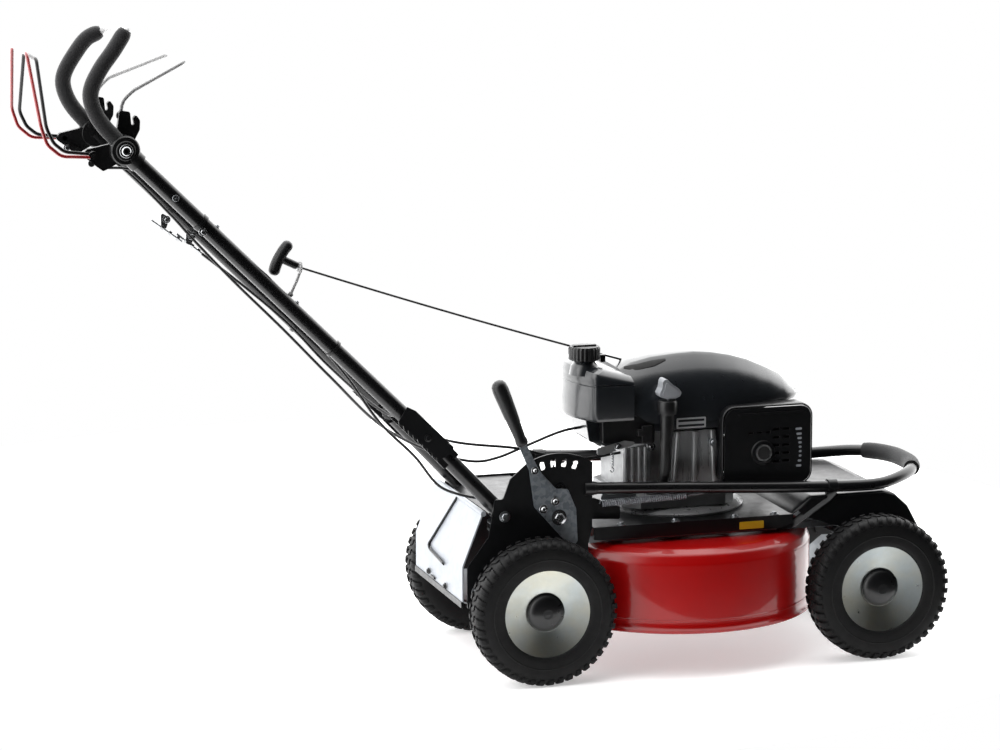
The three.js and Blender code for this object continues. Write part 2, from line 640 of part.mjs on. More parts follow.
// ---- Handle -----------------------------------------------------------------

function along(a, b, distance) {
  const length = Math.hypot(b.x - a.x, b.z - a.z);
  return { x: a.x + ((b.x - a.x) * distance) / length, z: a.z + ((b.z - a.z) * distance) / length };
}

// A flat tongue with a round end about a pivot.
function tongue(pivot, towards, reach, width, y0, y1, holeR) {
  const angle = Math.atan2(towards.z - pivot.z, towards.x - pivot.x);
  const shape = new THREE.Shape();
  const end = along(pivot, towards, reach);
  shape.absarc(pivot.x, pivot.z, width / 2, angle + Math.PI / 2, angle + Math.PI * 1.5, false);
  shape.lineTo(end.x + (width / 2) * Math.sin(angle), end.z - (width / 2) * Math.cos(angle));
  shape.lineTo(end.x - (width / 2) * Math.sin(angle), end.z + (width / 2) * Math.cos(angle));
  shape.closePath();
  if (holeR > 0) {
    shape.holes.push(circlePath(pivot.x, pivot.z, holeR));
  }
  return slabY(shape, y0, y1, 8);
}

function addHandle() {
  for (const side of [-1, 1]) {
    const y = side * TUBE_Y;
    const name = sideName(side);
    const span = (a, b) => [side * a, side * b].sort((p, q) => p - q);
    const foot = along(FOOT, FOLD, -10);
    const lowEnd = along(FOLD, FOOT, 30);
    const ear = span(TUBE_Y + 7, TUBE_Y + 12);
    const bolt = span(TUBE_Y - 17, TUBE_Y + 18);
    const head = span(TUBE_Y + 11, TUBE_Y + 18);
    const pad = span(TUBE_Y - 4, SIDE_Y - SHEET / 2 - GAP);
    piece(`lower_handle_${name}`, build([
      straightTube([foot.x, y, foot.z], [lowEnd.x, y, lowEnd.z], TUBE_R, TUBE_WALL),
      tongue(FOLD, FOOT, 60, 40, ear[0], ear[1], 0),
      rodY(FOLD.x, FOLD.z, 5, bolt[0], bolt[1], 14),
      rodY(FOLD.x, FOLD.z, 10, head[0], head[1], 6),
      rodY(FOOT.x, FOOT.z, 12, pad[0], pad[1], 14),
    ]), PAINT_BLACK);

    const upEnd = along(FOLD, TOP, 26);
    const topEnd = along(TOP, FOLD, 26);
    const inner = span(TUBE_Y - 10, TUBE_Y - 5);
    piece(`upper_handle_${name}`, build([
      straightTube([upEnd.x, y, upEnd.z], [topEnd.x, y, topEnd.z], TUBE_R, TUBE_WALL),
      tongue(FOLD, TOP, 60, 40, inner[0], inner[1], 5.3),
    ]), PAINT_BLACK);
    addJointCasting(side, name);
  }
  addGripLoop();
  addRopeGuide();
}

// The casting at the top of each tube holds the grip loop and carries the bail pivots.
function addJointCasting(side, name) {
  const y = side * TUBE_Y;
  const span = (a, b) => [side * a, side * b].sort((p, q) => p - q);
  const disc = span(TUBE_Y - 15, TUBE_Y + 15);
  const boss = span(TUBE_Y + 14, TUBE_Y + 20);
  const arm = span(TUBE_Y - 13, TUBE_Y - 7);
  const post = span(TUBE_Y - 20, TUBE_Y - 14);
  const plug = along(TOP, FOLD, 50);
  const wing = outline([[TOP.x - 6, TOP.z + 14], [BAIL_PIVOT.x + 8, BAIL_PIVOT.z + 16],
    [BAIL_PIVOT.x - 12, BAIL_PIVOT.z + 10], [BAIL_PIVOT.x - 16, BAIL_PIVOT.z - 8],
    [BAIL_PIVOT.x + 14, BAIL_PIVOT.z - 24], [TOP.x - 4, TOP.z - 12]]);
  const horn = outline([[TOP.x - 12, TOP.z + 6], [TOP.x + 14, TOP.z + 6], [FRONT_PIVOT.x + 16, FRONT_PIVOT.z - 14],
    [FRONT_PIVOT.x + 12, FRONT_PIVOT.z + 9], [FRONT_PIVOT.x - 8, FRONT_PIVOT.z + 9],
    [FRONT_PIVOT.x - 12, FRONT_PIVOT.z - 14]]);
  const bailPin = span(TUBE_Y - 14, TUBE_Y + 14);
  const frontPin = span(TUBE_Y - 28, TUBE_Y - 16);
  piece(`joint_casting_${name}`, build([
    rodY(TOP.x, TOP.z, 25, disc[0], disc[1], 20),
    rodY(TOP.x, TOP.z, 12, boss[0], boss[1], 16),
    slabY(wing, arm[0], arm[1]), slabY(horn, post[0], post[1]),
    rodY(BAIL_PIVOT.x, BAIL_PIVOT.z, 4, bailPin[0], bailPin[1], 12),
    rodY(FRONT_PIVOT.x, FRONT_PIVOT.z, 4, frontPin[0], frontPin[1], 12),
    straightTube([TOP.x, y, TOP.z], [plug.x, y, plug.z], TUBE_R - TUBE_WALL - GAP, 0),
  ]), PLASTIC_BLACK);
}

const GRIP_R = 13.5;

function addGripLoop() {
  const half = [[-1042, TUBE_Y, 978], [-1058, 125, 996], [-1070, 123, 1014], [-1078, 121, 1034], [-1080, 119, 1050],
    [-1076, 117, 1066], [-1060, 114, 1094], [-1038, 110, 1122], [-1022, 104, 1144], [-1014, 88, 1152]];
  const points = [...mirrored(half), ...half.slice().reverse()];
  piece('grip_loop', tube(smoothPath(points), GRIP_R, 40, { sides: 10 }), FOAM);
}

const ROPE_GUIDE = { x: -722, y: -112, z: 742 };

function addRopeGuide() {
  const ring = new THREE.TorusGeometry(9, 2.6, 8, 16);
  ring.rotateX(0.5);
  ring.rotateY(Math.PI / 2);
  ring.translate(ROPE_GUIDE.x, ROPE_GUIDE.y, ROPE_GUIDE.z);
  const foot = straightTube([-722.5, -112.5, 734], [-741, -120, 697], 2.8, 0, 8);
  piece('rope_guide', build([ring, foot]), ZINC);
}

// ---- Bails ------------------------------------------------------------------

const WIRE_R = 3;

function eye(pivot, y, width) {
  return slabY(outline([[pivot.x - 8, pivot.z - 8], [pivot.x + 8, pivot.z - 8], [pivot.x + 8, pivot.z + 8],
    [pivot.x - 8, pivot.z + 8]], [circlePath(pivot.x, pivot.z, 4.3)]), y - width / 2, y + width / 2);
}

// The route holds [x, z], with a third number where the arm has come in from armY.
function bail(pivot, armY, route, steps) {
  const half = route.map(([x, z, y = armY]) => [x, y, z]);
  const points = [...mirrored(half), ...half.slice().reverse()];
  const bends = points.slice(1, -1).map((point, i) => (Math.abs(i - (points.length - 3) / 2) < 1 ? 14 : 26));
  return build([
    tube(bentPath(points, bends), WIRE_R, steps, { sides: 8 }),
    eye(pivot, -armY, 5), eye(pivot, armY, 5),
  ]);
}

function addBails() {
  piece('bail_blade', bail(BAIL_PIVOT, 123, [[-1084, 952], [-1126, 957], [-1144, 972], [-1156, 998], [-1158, 1106, 56]], 44),
    PAINT_BLACK);
  piece('bail_drive', bail(BAIL_PIVOT, 134, [[-1086, 948], [-1134, 951], [-1157, 971], [-1167, 1002], [-1176, 1117, 68]], 44),
    PAINT_RED);
  piece('bail_front', bail(FRONT_PIVOT, 102, [[-1026, 1017.5], [-1022, 1036], [-1004, 1053], [-906, 1095, 64]], 40), ZINC);
}

// ---- Starter ----------------------------------------------------------------

const ROPE_R = 1.6;
const ROPE_END = { x: -94, y: -20, z: 528 };

function addStarter() {
  const bar = straightTube([-743, -112, 789], [-769, -112, 731], 9, 0, 12);
  const stem = straightTube([-756, -112, 760], [-741, -112, 751], 6, 0, 10);
  piece('starter_handle', build([bar, stem]), PLASTIC_BLACK);
  const pulled = straightTube([-740.6, -112, 750.8], [-723.5, -112, 742.6], ROPE_R, 0, 8);
  piece('starter_rope_pull', pulled, FOAM);
  const rope = straightTube([-721.5, -112, 741.7], [ROPE_END.x, ROPE_END.y, ROPE_END.z], ROPE_R, 0, 8);
  piece('starter_rope', rope, FOAM);
}

// ---- Control cables -----------------------------------------------------------

const CABLE_R = 2.5;
const tubeLine = (x) => FOLD.z + ((x - FOLD.x) * (TOP.z - FOLD.z)) / (TOP.x - FOLD.x);

// Each cable runs inside its handle tube's lower edge, then down in the open to the machine.
function addCables() {
  const down = (y, drop) => [-1000, -900, -800, -700].map((x) => [x, y, tubeLine(x) - drop]);
  const runs = {
    cable_blade: [[-1060, -103, 926], ...down(-106, 14), [-640, -104, 548], [-578, -100, 460], [-516, -100, 397],
      [-472, -100, 342], [-436, -103, 325], [-392, -104, 314]],
    cable_drive: [[-1060, 103, 926], ...down(106, 14), [-620, 92, 530], [-540, 20, 456], [-451, -64, 416],
      [-316, -64, 392], [-267, -64, 378], [-200, -62, 366], [-124, -60, 372]],
    cable_throttle: [[-1052, 94, 924], ...down(97, 22), [-620, 80, 512], [-545, 10, 432], [-470, -40, 392],
      [-389, -48, 370], [-347, -48, 375], [-295, -48, 393], [-220, -48, 417], [-140, -48, 421]],
  };
  for (const [name, points] of Object.entries(runs)) {
    piece(name, tube(smoothPath(points), CABLE_R, 36, { sides: 8 }), FOAM);
  }
}

addDeck();
addChassisPlate();
addFrontHood();
addSidePlates();
addRearCover();
addFlap();
addGuard();
addEngineBlock();
addEngineCovers();
addExhaust();
addAirCleaner();
addOilFiller();
addRotatingParts();
addDrive();
addHeightGear();
for (const end of ['front', 'rear']) {
  for (const side of [-1, 1]) {
    addWheel(end, side);
  }
}
addHandle();
addBails();
addStarter();
addCables();

export default mower;
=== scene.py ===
from math import atan2, cos, pi, radians, sin, tan
import bmesh
import bpy
from mathutils import Matrix, Vector


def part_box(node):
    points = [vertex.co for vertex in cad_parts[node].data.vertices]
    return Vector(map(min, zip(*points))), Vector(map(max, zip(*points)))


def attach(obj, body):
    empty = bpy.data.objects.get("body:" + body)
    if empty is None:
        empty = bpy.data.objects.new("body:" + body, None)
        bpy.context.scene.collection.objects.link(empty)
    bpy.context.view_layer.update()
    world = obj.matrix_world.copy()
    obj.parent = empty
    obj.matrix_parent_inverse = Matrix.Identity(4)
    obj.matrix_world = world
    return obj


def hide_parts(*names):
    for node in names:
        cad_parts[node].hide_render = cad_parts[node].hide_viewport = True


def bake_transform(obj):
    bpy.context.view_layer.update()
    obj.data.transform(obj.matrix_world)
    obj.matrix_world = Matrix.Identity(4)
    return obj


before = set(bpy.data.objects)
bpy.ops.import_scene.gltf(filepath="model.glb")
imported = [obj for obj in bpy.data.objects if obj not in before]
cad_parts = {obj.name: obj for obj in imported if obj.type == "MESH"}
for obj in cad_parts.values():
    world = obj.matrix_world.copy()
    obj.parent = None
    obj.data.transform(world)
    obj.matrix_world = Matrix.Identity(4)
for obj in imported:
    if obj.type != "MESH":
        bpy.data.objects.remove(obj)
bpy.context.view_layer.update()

# ---- Frame: millimetres from the middle of the wheelbase, on the ground ----

TYRES = [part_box(f"tyre_{end}_{side}") for end in ("front", "rear") for side in ("left", "right")]
MID_X = sum(lo.x + hi.x for lo, hi in TYRES) / 8
X_ENGINE, AXLE_Z, WHEEL_X, TUBE_Y = -5, 130, 313.5, 126
PIVOT_X, PIVOT_Z = -271, 285
DRUM = X_ENGINE, 0, 0
NEAR, FAR, UP = (0, -1, 0), (0, 1, 0), (0, 0, 1)


def P(x, y, z):
    return Vector((MID_X + x / 1000, y / 1000, z / 1000))


# ---- Camera and light ----

LENS, SENSOR = 141.55, 36
CAMERA_AT, CAMERA_AIM = (-1.99325, -6.5415, 1.8014), (0.03715, 0, 0.5131)


def add_camera():
    data = bpy.data.cameras.new("photo_view")
    data.lens, data.sensor_width = LENS, SENSOR
    cam = bpy.data.objects.new("photo_view", data)
    bpy.context.scene.collection.objects.link(cam)
    cam.location = CAMERA_AT
    aim = Vector(CAMERA_AIM) - cam.location
    cam.rotation_euler = aim.to_track_quat("-Z", "Y").to_euler()
    bpy.context.scene.camera = cam
    return -aim.normalized()


TO_CAMERA = add_camera()
RANGE_INPUTS = "From Min", "From Max", "To Min", "To Max"
DARK_TURN = 35
AROUND, OVERHEAD = (0.1, 0.5, 3.1, 0.02), (0.9, 0.995, 0.0, 0.8)


def add_world():
    """White to the camera; surfaces mirror dark in front, and light beside, behind and overhead."""
    world = bpy.data.worlds.new("studio")
    bpy.context.scene.world = world
    world.use_nodes = True
    nodes, link = world.node_tree.nodes, world.node_tree.links.new
    nodes.clear()
    out, sky, plain, coords, dot, around, height, split, most, seen, both = (
        nodes.new("ShaderNode" + kind) for kind in (
            "OutputWorld", "Background", "Background", "TexCoord", "VectorMath", "MapRange", "MapRange",
            "SeparateXYZ", "Math", "LightPath", "MixShader"))
    dot.operation, most.operation = "DOT_PRODUCT", "MAXIMUM"
    front = Vector((TO_CAMERA.x, TO_CAMERA.y, 0)).normalized()
    dot.inputs[1].default_value = Matrix.Rotation(radians(DARK_TURN), 3, "Z") @ front
    for node, values in ((around, AROUND), (height, OVERHEAD)):
        node.interpolation_type = "SMOOTHSTEP"
        for key, value in zip(RANGE_INPUTS, values):
            node.inputs[key].default_value = value
    for node in (sky, plain):
        node.inputs["Color"].default_value = (1, 1, 1, 1)
    for node, output, goal, key in (
            (coords, "Generated", dot, 0), (coords, "Generated", split, 0), (dot, "Value", around, "Value"),
            (split, "Z", height, "Value"), (around, "Result", most, 0), (height, "Result", most, 1),
            (most, 0, sky, "Strength"), (seen, "Is Camera Ray", both, "Fac"), (sky, 0, both, 1),
            (plain, 0, both, 2), (both, 0, out, "Surface")):
        link(node.outputs[output], goal.inputs[key])


def add_lamp(name, spot, aim, size, watts):
    data = bpy.data.lights.new(name, "AREA")
    data.shape = "RECTANGLE"
    data.size, data.size_y, data.energy = size, size, watts
    lamp = bpy.data.objects.new(name, data)
    bpy.context.scene.collection.objects.link(lamp)
    lamp.location = spot
    lamp.rotation_euler = (Vector(aim) - Vector(spot)).to_track_quat("-Z", "Y").to_euler()


add_world()
add_lamp("key_left", (-3.0, -0.9, 2.2), (0.3, 0, 0.35), 1.4, 7)
add_lamp("top", (0.3, 1.3, 3.2), (0.4, 0, 0), 2.4, 26)
bpy.context.scene.view_settings.view_transform = "Standard"


# ---- Materials ----

def surface(name, colour, metallic=0.0, rough=0.4, spread=0.1, grain=60, bump=0.1, fine=900, tint=None,
            amount=0.5, patch=14, coat=0.0, coat_rough=0.05, stretch=(1, 1, 1), cells=0, anisotropic=0.0,
            sheen=0.0, specular=0.5, glow=0.0):
    """A finish with a wide tint, a dusty middle grain, and fine bumps, all in object coordinates."""
    m = bpy.data.materials.new(name)
    m.use_nodes = True
    nodes, link = m.node_tree.nodes, m.node_tree.links.new
    node = nodes["Principled BSDF"]

    def new(kind, **values):
        n = nodes.new("ShaderNode" + kind)
        for key, value in values.items():
            setattr(n, key, value)
        return n

    def fill(n, **values):
        for key, value in values.items():
            n.inputs[key.replace("_", " ")].default_value = value
        return n

    coords, space = new("TexCoord"), fill(new("Mapping"), Scale=stretch)
    link(coords.outputs["Object"], space.inputs["Vector"])

    def noise(scale, detail):
        n = fill(new("TexNoise"), Scale=scale, Detail=detail, Roughness=0.6)
        link(space.outputs["Vector"], n.inputs["Vector"])
        return n.outputs["Fac"]

    wide, mid, small = noise(patch, 6), noise(grain, 5), noise(fine, 3)

    def ranged(source, low, high, a=0.3, b=0.7):
        n = fill(new("MapRange"), **dict(zip(RANGE_INPUTS, (a, b, low, high))))
        link(source, n.inputs["Value"])
        return n.outputs["Result"]

    shade, edges = wide, (0.35, 0.7)
    if cells:
        v, hue = fill(new("TexVoronoi"), Scale=cells), new("SeparateColor")
        link(space.outputs["Vector"], v.inputs["Vector"])
        link(v.outputs["Color"], hue.inputs["Color"])
        shade, edges = hue.outputs["Red"], (0.2, 0.9)
    mix = fill(new("Mix", data_type="RGBA"), A=(*colour, 1), B=(*(tint or [c * 0.72 for c in colour]), 1))
    link(ranged(shade, 0.0, amount, *edges), mix.inputs["Factor"])
    dust = fill(new("Mix", data_type="RGBA", blend_type="MULTIPLY"), B=(0.82, 0.82, 0.82, 1))
    link(ranged(mid, 0.0, 0.5), dust.inputs["Factor"])
    link(mix.outputs["Result"], dust.inputs["A"])
    link(dust.outputs["Result"], node.inputs["Base Color"])
    link(ranged(mid, max(rough - spread / 2, 0.02), rough + spread / 2), node.inputs["Roughness"])
    fill(node, Metallic=metallic, Coat_Weight=coat, Coat_Roughness=coat_rough, Specular_IOR_Level=specular,
         Sheen_Weight=sheen)
    if glow:
        fill(node, Emission_Color=(*colour, 1), Emission_Strength=glow)
    low = fill(new("Bump"), Strength=bump, Distance=0.0004)
    link(small, low.inputs["Height"])
    high = fill(new("Bump"), Strength=bump * 0.6, Distance=0.0012)
    link(mid, high.inputs["Height"])
    link(low.outputs["Normal"], high.inputs["Normal"])
    link(high.outputs["Normal"], node.inputs["Normal"])
    if anisotropic:
        fill(node, Anisotropic=anisotropic)
        link(new("Tangent", direction_type="RADIAL", axis="Y").outputs["Tangent"], node.inputs["Tangent"])
    m.diffuse_color = (*colour, 1)
    return m


RED = surface("red_enamel", (0.33, 0.0008, 0.001), rough=0.34, spread=0.06, coat=0.45, bump=0.015,
              tint=(0.28, 0.0007, 0.0009), grain=26, specular=0.25)
BLACK = surface("black_powder_coat", (0.0045, 0.0048, 0.0055), rough=0.34, bump=0.12, fine=1600,
                tint=(0.008, 0.008, 0.009), specular=0.38)
GLOSS = surface("black_gloss_tube", (0.004, 0.004, 0.0045), rough=0.3, spread=0.08, bump=0.05, coat=0.15,
                tint=(0.007, 0.007, 0.008), specular=0.4)
CHARCOAL = surface("charcoal_plastic", (0.008, 0.0098, 0.0125), rough=0.36, bump=0.08, fine=2400,
                   tint=(0.011, 0.013, 0.016), specular=0.4, coat=0.8, coat_rough=0.14)
COWL = surface("cowl_plastic", (0.008, 0.0098, 0.0125), rough=0.3, spread=0.06, bump=0.015, fine=2400,
               tint=(0.011, 0.013, 0.016), coat=1.0, coat_rough=0.08)
PLASTIC = surface("black_plastic", (0.0055, 0.0055, 0.0062), rough=0.36, spread=0.14, bump=0.2, fine=1400,
                  tint=(0.009, 0.009, 0.009), specular=0.4)
FOAM = surface("foam_sleeve", (0.010, 0.010, 0.011), rough=0.82, spread=0.12, bump=0.8, fine=1500, grain=420,
               tint=(0.017, 0.017, 0.018), sheen=0.25, specular=0.3)
RUBBER = surface("tyre_rubber", (0.0035, 0.0035, 0.004), rough=0.6, spread=0.16, bump=0.35,
                 tint=(0.006, 0.006, 0.0055), specular=0.2)
SHEATH = surface("cable_sheath", (0.010, 0.010, 0.011), rough=0.38,
                 tint=(0.016, 0.016, 0.016))
ROPE = surface("braided_cord", (0.012, 0.012, 0.013), rough=0.8, bump=0.9, fine=2600, grain=900,
               tint=(0.03, 0.03, 0.03))
ZINC = surface("zinc_plate", (0.34, 0.355, 0.37), metallic=1.0, rough=0.36, spread=0.16, bump=0.12,
               tint=(0.22, 0.235, 0.25))
SPANGLE = surface("mottled_zinc", (0.30, 0.33, 0.36), metallic=0.85, rough=0.46, spread=0.2, bump=0.2,
                  cells=150, tint=(0.17, 0.19, 0.21), amount=0.75)
RIM = surface("spun_zinc", (0.40, 0.44, 0.445), metallic=1.0, rough=0.3, spread=0.06, bump=0.05, patch=16,
              tint=(0.45, 0.43, 0.34), amount=0.8, anisotropic=0.75)
ALU = surface("cast_aluminium", (0.36, 0.365, 0.37), metallic=1.0, rough=0.42, spread=0.18, bump=0.5,
              fine=700, tint=(0.22, 0.225, 0.23))
MILLED = surface("milled_aluminium", (0.50, 0.505, 0.51), metallic=0.6, rough=0.3, spread=0.12, bump=0.08,
                 stretch=(1, 1, 0.08), fine=500, tint=(0.26, 0.265, 0.27), amount=0.8)
CHROME = surface("bright_steel", (0.50, 0.51, 0.52), metallic=1.0, rough=0.2, bump=0.03,
                 tint=(0.36, 0.37, 0.38))
SILVER = surface("grey_sheet", (0.34, 0.36, 0.39), rough=0.42, bump=0.06, metallic=0.15,
                 tint=(0.30, 0.32, 0.35))
PALE = surface("pale_grey_plastic", (0.26, 0.27, 0.29), rough=0.45,
               tint=(0.22, 0.23, 0.24))
FOIL = surface("plain_foil", (0.50, 0.51, 0.52), metallic=0.25, rough=0.4, bump=0.05)
YELLOW = surface("plain_yellow_patch", (0.62, 0.40, 0.012), rough=0.5, bump=0.03,
                 tint=(0.54, 0.34, 0.010))
# Near-black and matte: the muffler's own black, and painted shade in the rope recess and the exhaust bore.
BLACK_AND_SHADE = surface("matte_black_and_painted_shade", (0.004, 0.004, 0.004), rough=0.7, bump=0.3)
RED_WIRE = surface("red_wire", (0.30, 0.010, 0.012), rough=0.3, spread=0.08, bump=0.05, coat=0.6,
                   tint=(0.22, 0.008, 0.010))
PALE_WIRE = surface("pale_wire", (0.5, 0.5, 0.5), rough=0.5, spread=0.08, bump=0.05,
                    tint=(0.44, 0.44, 0.44))
FLOOR = surface("pale_floor", (0.93, 0.93, 0.93), rough=0.75, spread=0.05, bump=0.02, tint=(0.92, 0.92, 0.92),
                glow=0.42, specular=0.2)


# ---- Mesh building ----

MERGE, SHARP = 2e-6, 34


def finish_mesh(bm, name):
    bmesh.ops.remove_doubles(bm, verts=bm.verts, dist=MERGE)
    bmesh.ops.recalc_face_normals(bm, faces=bm.faces)
    mesh = bpy.data.meshes.new(name)
    bm.to_mesh(mesh)
    bm.free()
    return mesh


def joined(meshes):
    bm = bmesh.new()
    for mesh in meshes:
        bm.from_mesh(mesh)
    mesh = bpy.data.meshes.new("joined")
    bm.to_mesh(mesh)
    bm.free()
    return mesh


def dress(mesh, material):
    mesh.materials.clear()
    mesh.materials.append(material)
    mesh.polygons.foreach_set("use_smooth", [True] * len(mesh.polygons))


def soften(obj, bevel, angle, segments=2):
    m = obj.modifiers.new("edges", "BEVEL")
    m.width, m.segments, m.limit_method, m.angle_limit = bevel / 1000, segments, "ANGLE", radians(angle)
    m.harden_normals = True


def place(name, mesh, material, body="chassis", bevel=0.0, stands_for=(), angle=SHARP, segments=2):
    """One visible piece, from a mesh or a list of them, riding on a body."""
    if isinstance(mesh, list):
        mesh = joined(mesh)
    dress(mesh, material)
    if not bevel:
        mesh.set_sharp_from_angle(angle=radians(angle))
    obj = bpy.data.objects.new(name, mesh)
    bpy.context.scene.collection.objects.link(obj)
    if bevel:
        soften(obj, bevel, angle, segments)
    if body:
        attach(obj, body)
    if stands_for:
        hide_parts(*stands_for)
    return obj


def corners(points, r, n=5):
    """A polyline of 2-D or 3-D points with its inner corners rounded."""
    pts = [Vector((*p, 0)) if len(p) == 2 else Vector(p) for p in points]
    flat = len(points[0]) == 2
    out = [pts[0]]
    for a, b, c in zip(pts, pts[1:], pts[2:]):
        out += arc_at(a, b, c, r, n)
    out.append(pts[-1])
    return [(p.x, p.y) for p in out] if flat else [tuple(p) for p in out]


def rounded(points, r, n=5):
    """A closed 2-D outline with rounded corners; r is one radius or a list."""
    pts = [Vector((*p, 0)) for p in points]
    out = []
    for i, b in enumerate(pts):
        size = r[i] if isinstance(r, (list, tuple)) else r
        out += arc_at(pts[i - 1], b, pts[(i + 1) % len(pts)], size, n) if size else [b]
    return [(p.x, p.y) for p in out]


def arc_at(a, b, c, r, n):
    u, v = a - b, c - b
    turn = u.angle(v, pi)
    if turn > radians(177) or r <= 0:
        return [b]
    d = min(r / tan(turn / 2), u.length * 0.48, v.length * 0.48)
    r = d * tan(turn / 2)
    centre = b + (u.normalized() + v.normalized()).normalized() * (r / sin(turn / 2))
    start, end = b + u.normalized() * d - centre, b + v.normalized() * d - centre
    size = start.length
    return [centre + start.slerp(end, i / n).normalized() * size for i in range(n + 1)]


def oblong(x0, x1, z0, z1, r, n):
    return rounded([(x0, z0), (x1, z0), (x1, z1), (x0, z1)], r, n)


def curve(points, steps):
    """Centripetal Catmull-Rom through 3-D points, evenly spaced."""
    pts = [Vector(p) for p in points]
    pts = [pts[0] * 2 - pts[1], *pts, pts[-1] * 2 - pts[-2]]
    dense = []
    for p0, p1, p2, p3 in zip(pts, pts[1:], pts[2:], pts[3:]):
        t = [0.0]
        for a, b in ((p0, p1), (p1, p2), (p2, p3)):
            t.append(t[-1] + max((b - a).length, 1e-6) ** 0.5)
        for i in range(16):
            s = t[1] + (t[2] - t[1]) * i / 16
            a1 = p0.lerp(p1, (s - t[0]) / (t[1] - t[0]))
            a2 = p1.lerp(p2, (s - t[1]) / (t[2] - t[1]))
            a3 = p2.lerp(p3, (s - t[2]) / (t[3] - t[2]))
            b1 = a1.lerp(a2, (s - t[0]) / (t[2] - t[0]))
            b2 = a2.lerp(a3, (s - t[1]) / (t[3] - t[1]))
            dense.append(b1.lerp(b2, (s - t[1]) / (t[2] - t[1])))
    dense.append(pts[-2])
    reach = [0.0]
    for a, b in zip(dense, dense[1:]):
        reach.append(reach[-1] + (b - a).length)
    out, k = [], 0
    for i in range(steps + 1):
        want = reach[-1] * i / steps
        while k < len(reach) - 2 and reach[k + 1] < want:
            k += 1
        span = max(reach[k + 1] - reach[k], 1e-9)
        out.append(tuple(dense[k].lerp(dense[k + 1], (want - reach[k]) / span)))
    return out


def angles(n):
    return [2 * pi * i / n for i in range(n)]


def ring(r, n=20):
    return [(r * cos(a), r * sin(a)) for a in angles(n)]


def circle(x, z, r, n=20):
    return [(x + u, z + v) for u, v in ring(r, n)]


def sweep(points, section, closed=False, grow=None):
    """A section in mm carried along 3-D points in mm."""
    pts = [P(*p) for p in points]
    n = len(pts)
    tangents = []
    for i in range(n):
        a = pts[(i - 1) % n] if closed or i else pts[i]
        b = pts[(i + 1) % n] if closed or i < n - 1 else pts[i]
        tangents.append((b - a).normalized())
    side = tangents[0].orthogonal().normalized()
    bm = bmesh.new()
    rings = []
    for i, (p, t) in enumerate(zip(pts, tangents)):
        if i:
            side = tangents[i - 1].rotation_difference(t) @ side
        side = (side - t * side.dot(t)).normalized()
        up = t.cross(side)
        k = (grow[i] if grow else 1.0) / 1000
        rings.append([bm.verts.new(p + side * (u * k) + up * (v * k)) for u, v in section])
    skin(bm, rings + rings[:1] if closed else rings)
    if not closed:
        bm.faces.new(rings[0][::-1])
        bm.faces.new(rings[-1])
    return finish_mesh(bm, "sweep")


def turned(bm, origin, direction):
    """A maker of vertices at (radius, along, angle) about a line."""
    o, turn = P(*origin), Vector(direction).normalized().to_track_quat("Z", "Y").to_matrix()
    return lambda r, t, a: bm.verts.new(o + turn @ Vector((r * cos(a), r * sin(a), t)) / 1000)


def skin(bm, rings):
    """Quads between neighbouring rings of the same count."""
    for a, b in zip(rings, rings[1:]):
        for j, p in enumerate(a):
            k = (j + 1) % len(a)
            bm.faces.new((p, a[k], b[k], b[j]))


def rod(a, b, r, n=20):
    return sweep([a, b], ring(r, n))


def lathe(profile, origin, direction, steps=64):
    """A closed (radius, along) profile in mm turned about a line."""
    bm = bmesh.new()
    put = turned(bm, origin, direction)
    rings = [[put(r, t, a) for r, t in profile] for a in angles(steps)]
    m = len(profile)
    for a, b in zip(rings, rings[1:] + rings[:1]):
        for j in range(m):
            k = (j + 1) % m
            if profile[j][0] > 1e-6 or profile[k][0] > 1e-6:
                bm.faces.new((a[j], a[k], b[k], b[j]))
    bmesh.ops.remove_doubles(bm, verts=bm.verts, dist=MERGE)
    bmesh.ops.dissolve_degenerate(bm, edges=bm.edges, dist=1e-6)
    return finish_mesh(bm, "lathe")


def spot(axis, u, v, w):
    return P(u, w, v) if axis == "Y" else P(u, v, w)


def plate(outer, lo, hi, axis="Y", holes=()):
    """A flat sheet between two levels of an axis, with holes."""
    bm = bmesh.new()
    edges = []
    for loop in [outer, *holes]:
        vs = [bm.verts.new(spot(axis, u, v, lo)) for u, v in loop]
        edges += [bm.edges.new((vs[i], vs[(i + 1) % len(vs)])) for i in range(len(vs))]
    bmesh.ops.triangle_fill(bm, use_beauty=True, edges=edges)
    moved = bmesh.ops.extrude_face_region(bm, geom=list(bm.faces))
    shift = spot(axis, 0, 0, hi) - spot(axis, 0, 0, lo)
    bmesh.ops.translate(bm, vec=shift, verts=[g for g in moved["geom"] if isinstance(g, bmesh.types.BMVert)])
    return finish_mesh(bm, "plate")


def sheet(line, thick, y0, y1, r):
    """A folded sheet: an (x, z) line with rounded folds, thickened and run across Y."""
    pts = [Vector(p) for p in corners(line, r, 4)]
    normals = []
    for i, p in enumerate(pts):
        d = (pts[min(i + 1, len(pts) - 1)] - pts[max(i - 1, 0)]).normalized()
        normals.append(Vector((-d.y, d.x)))
    outline = [tuple(p) for p in pts] + [tuple(p - n * thick) for p, n in list(zip(pts, normals))[::-1]]
    return plate(outline, y0, y1)


def loft(rings):
    """A skin over rings of points in mm, with its ends filled."""
    bm = bmesh.new()
    made = [[bm.verts.new(P(*p)) for p in r] for r in rings]
    skin(bm, made)
    bm.faces.new(made[0][::-1])
    bm.faces.new(made[-1])
    return finish_mesh(bm, "loft")


def block(x0, x1, y0, y1, z0, z1):
    return plate([(x0, y0), (x1, y0), (x1, y1), (x0, y1)], z0, z1, "Z")


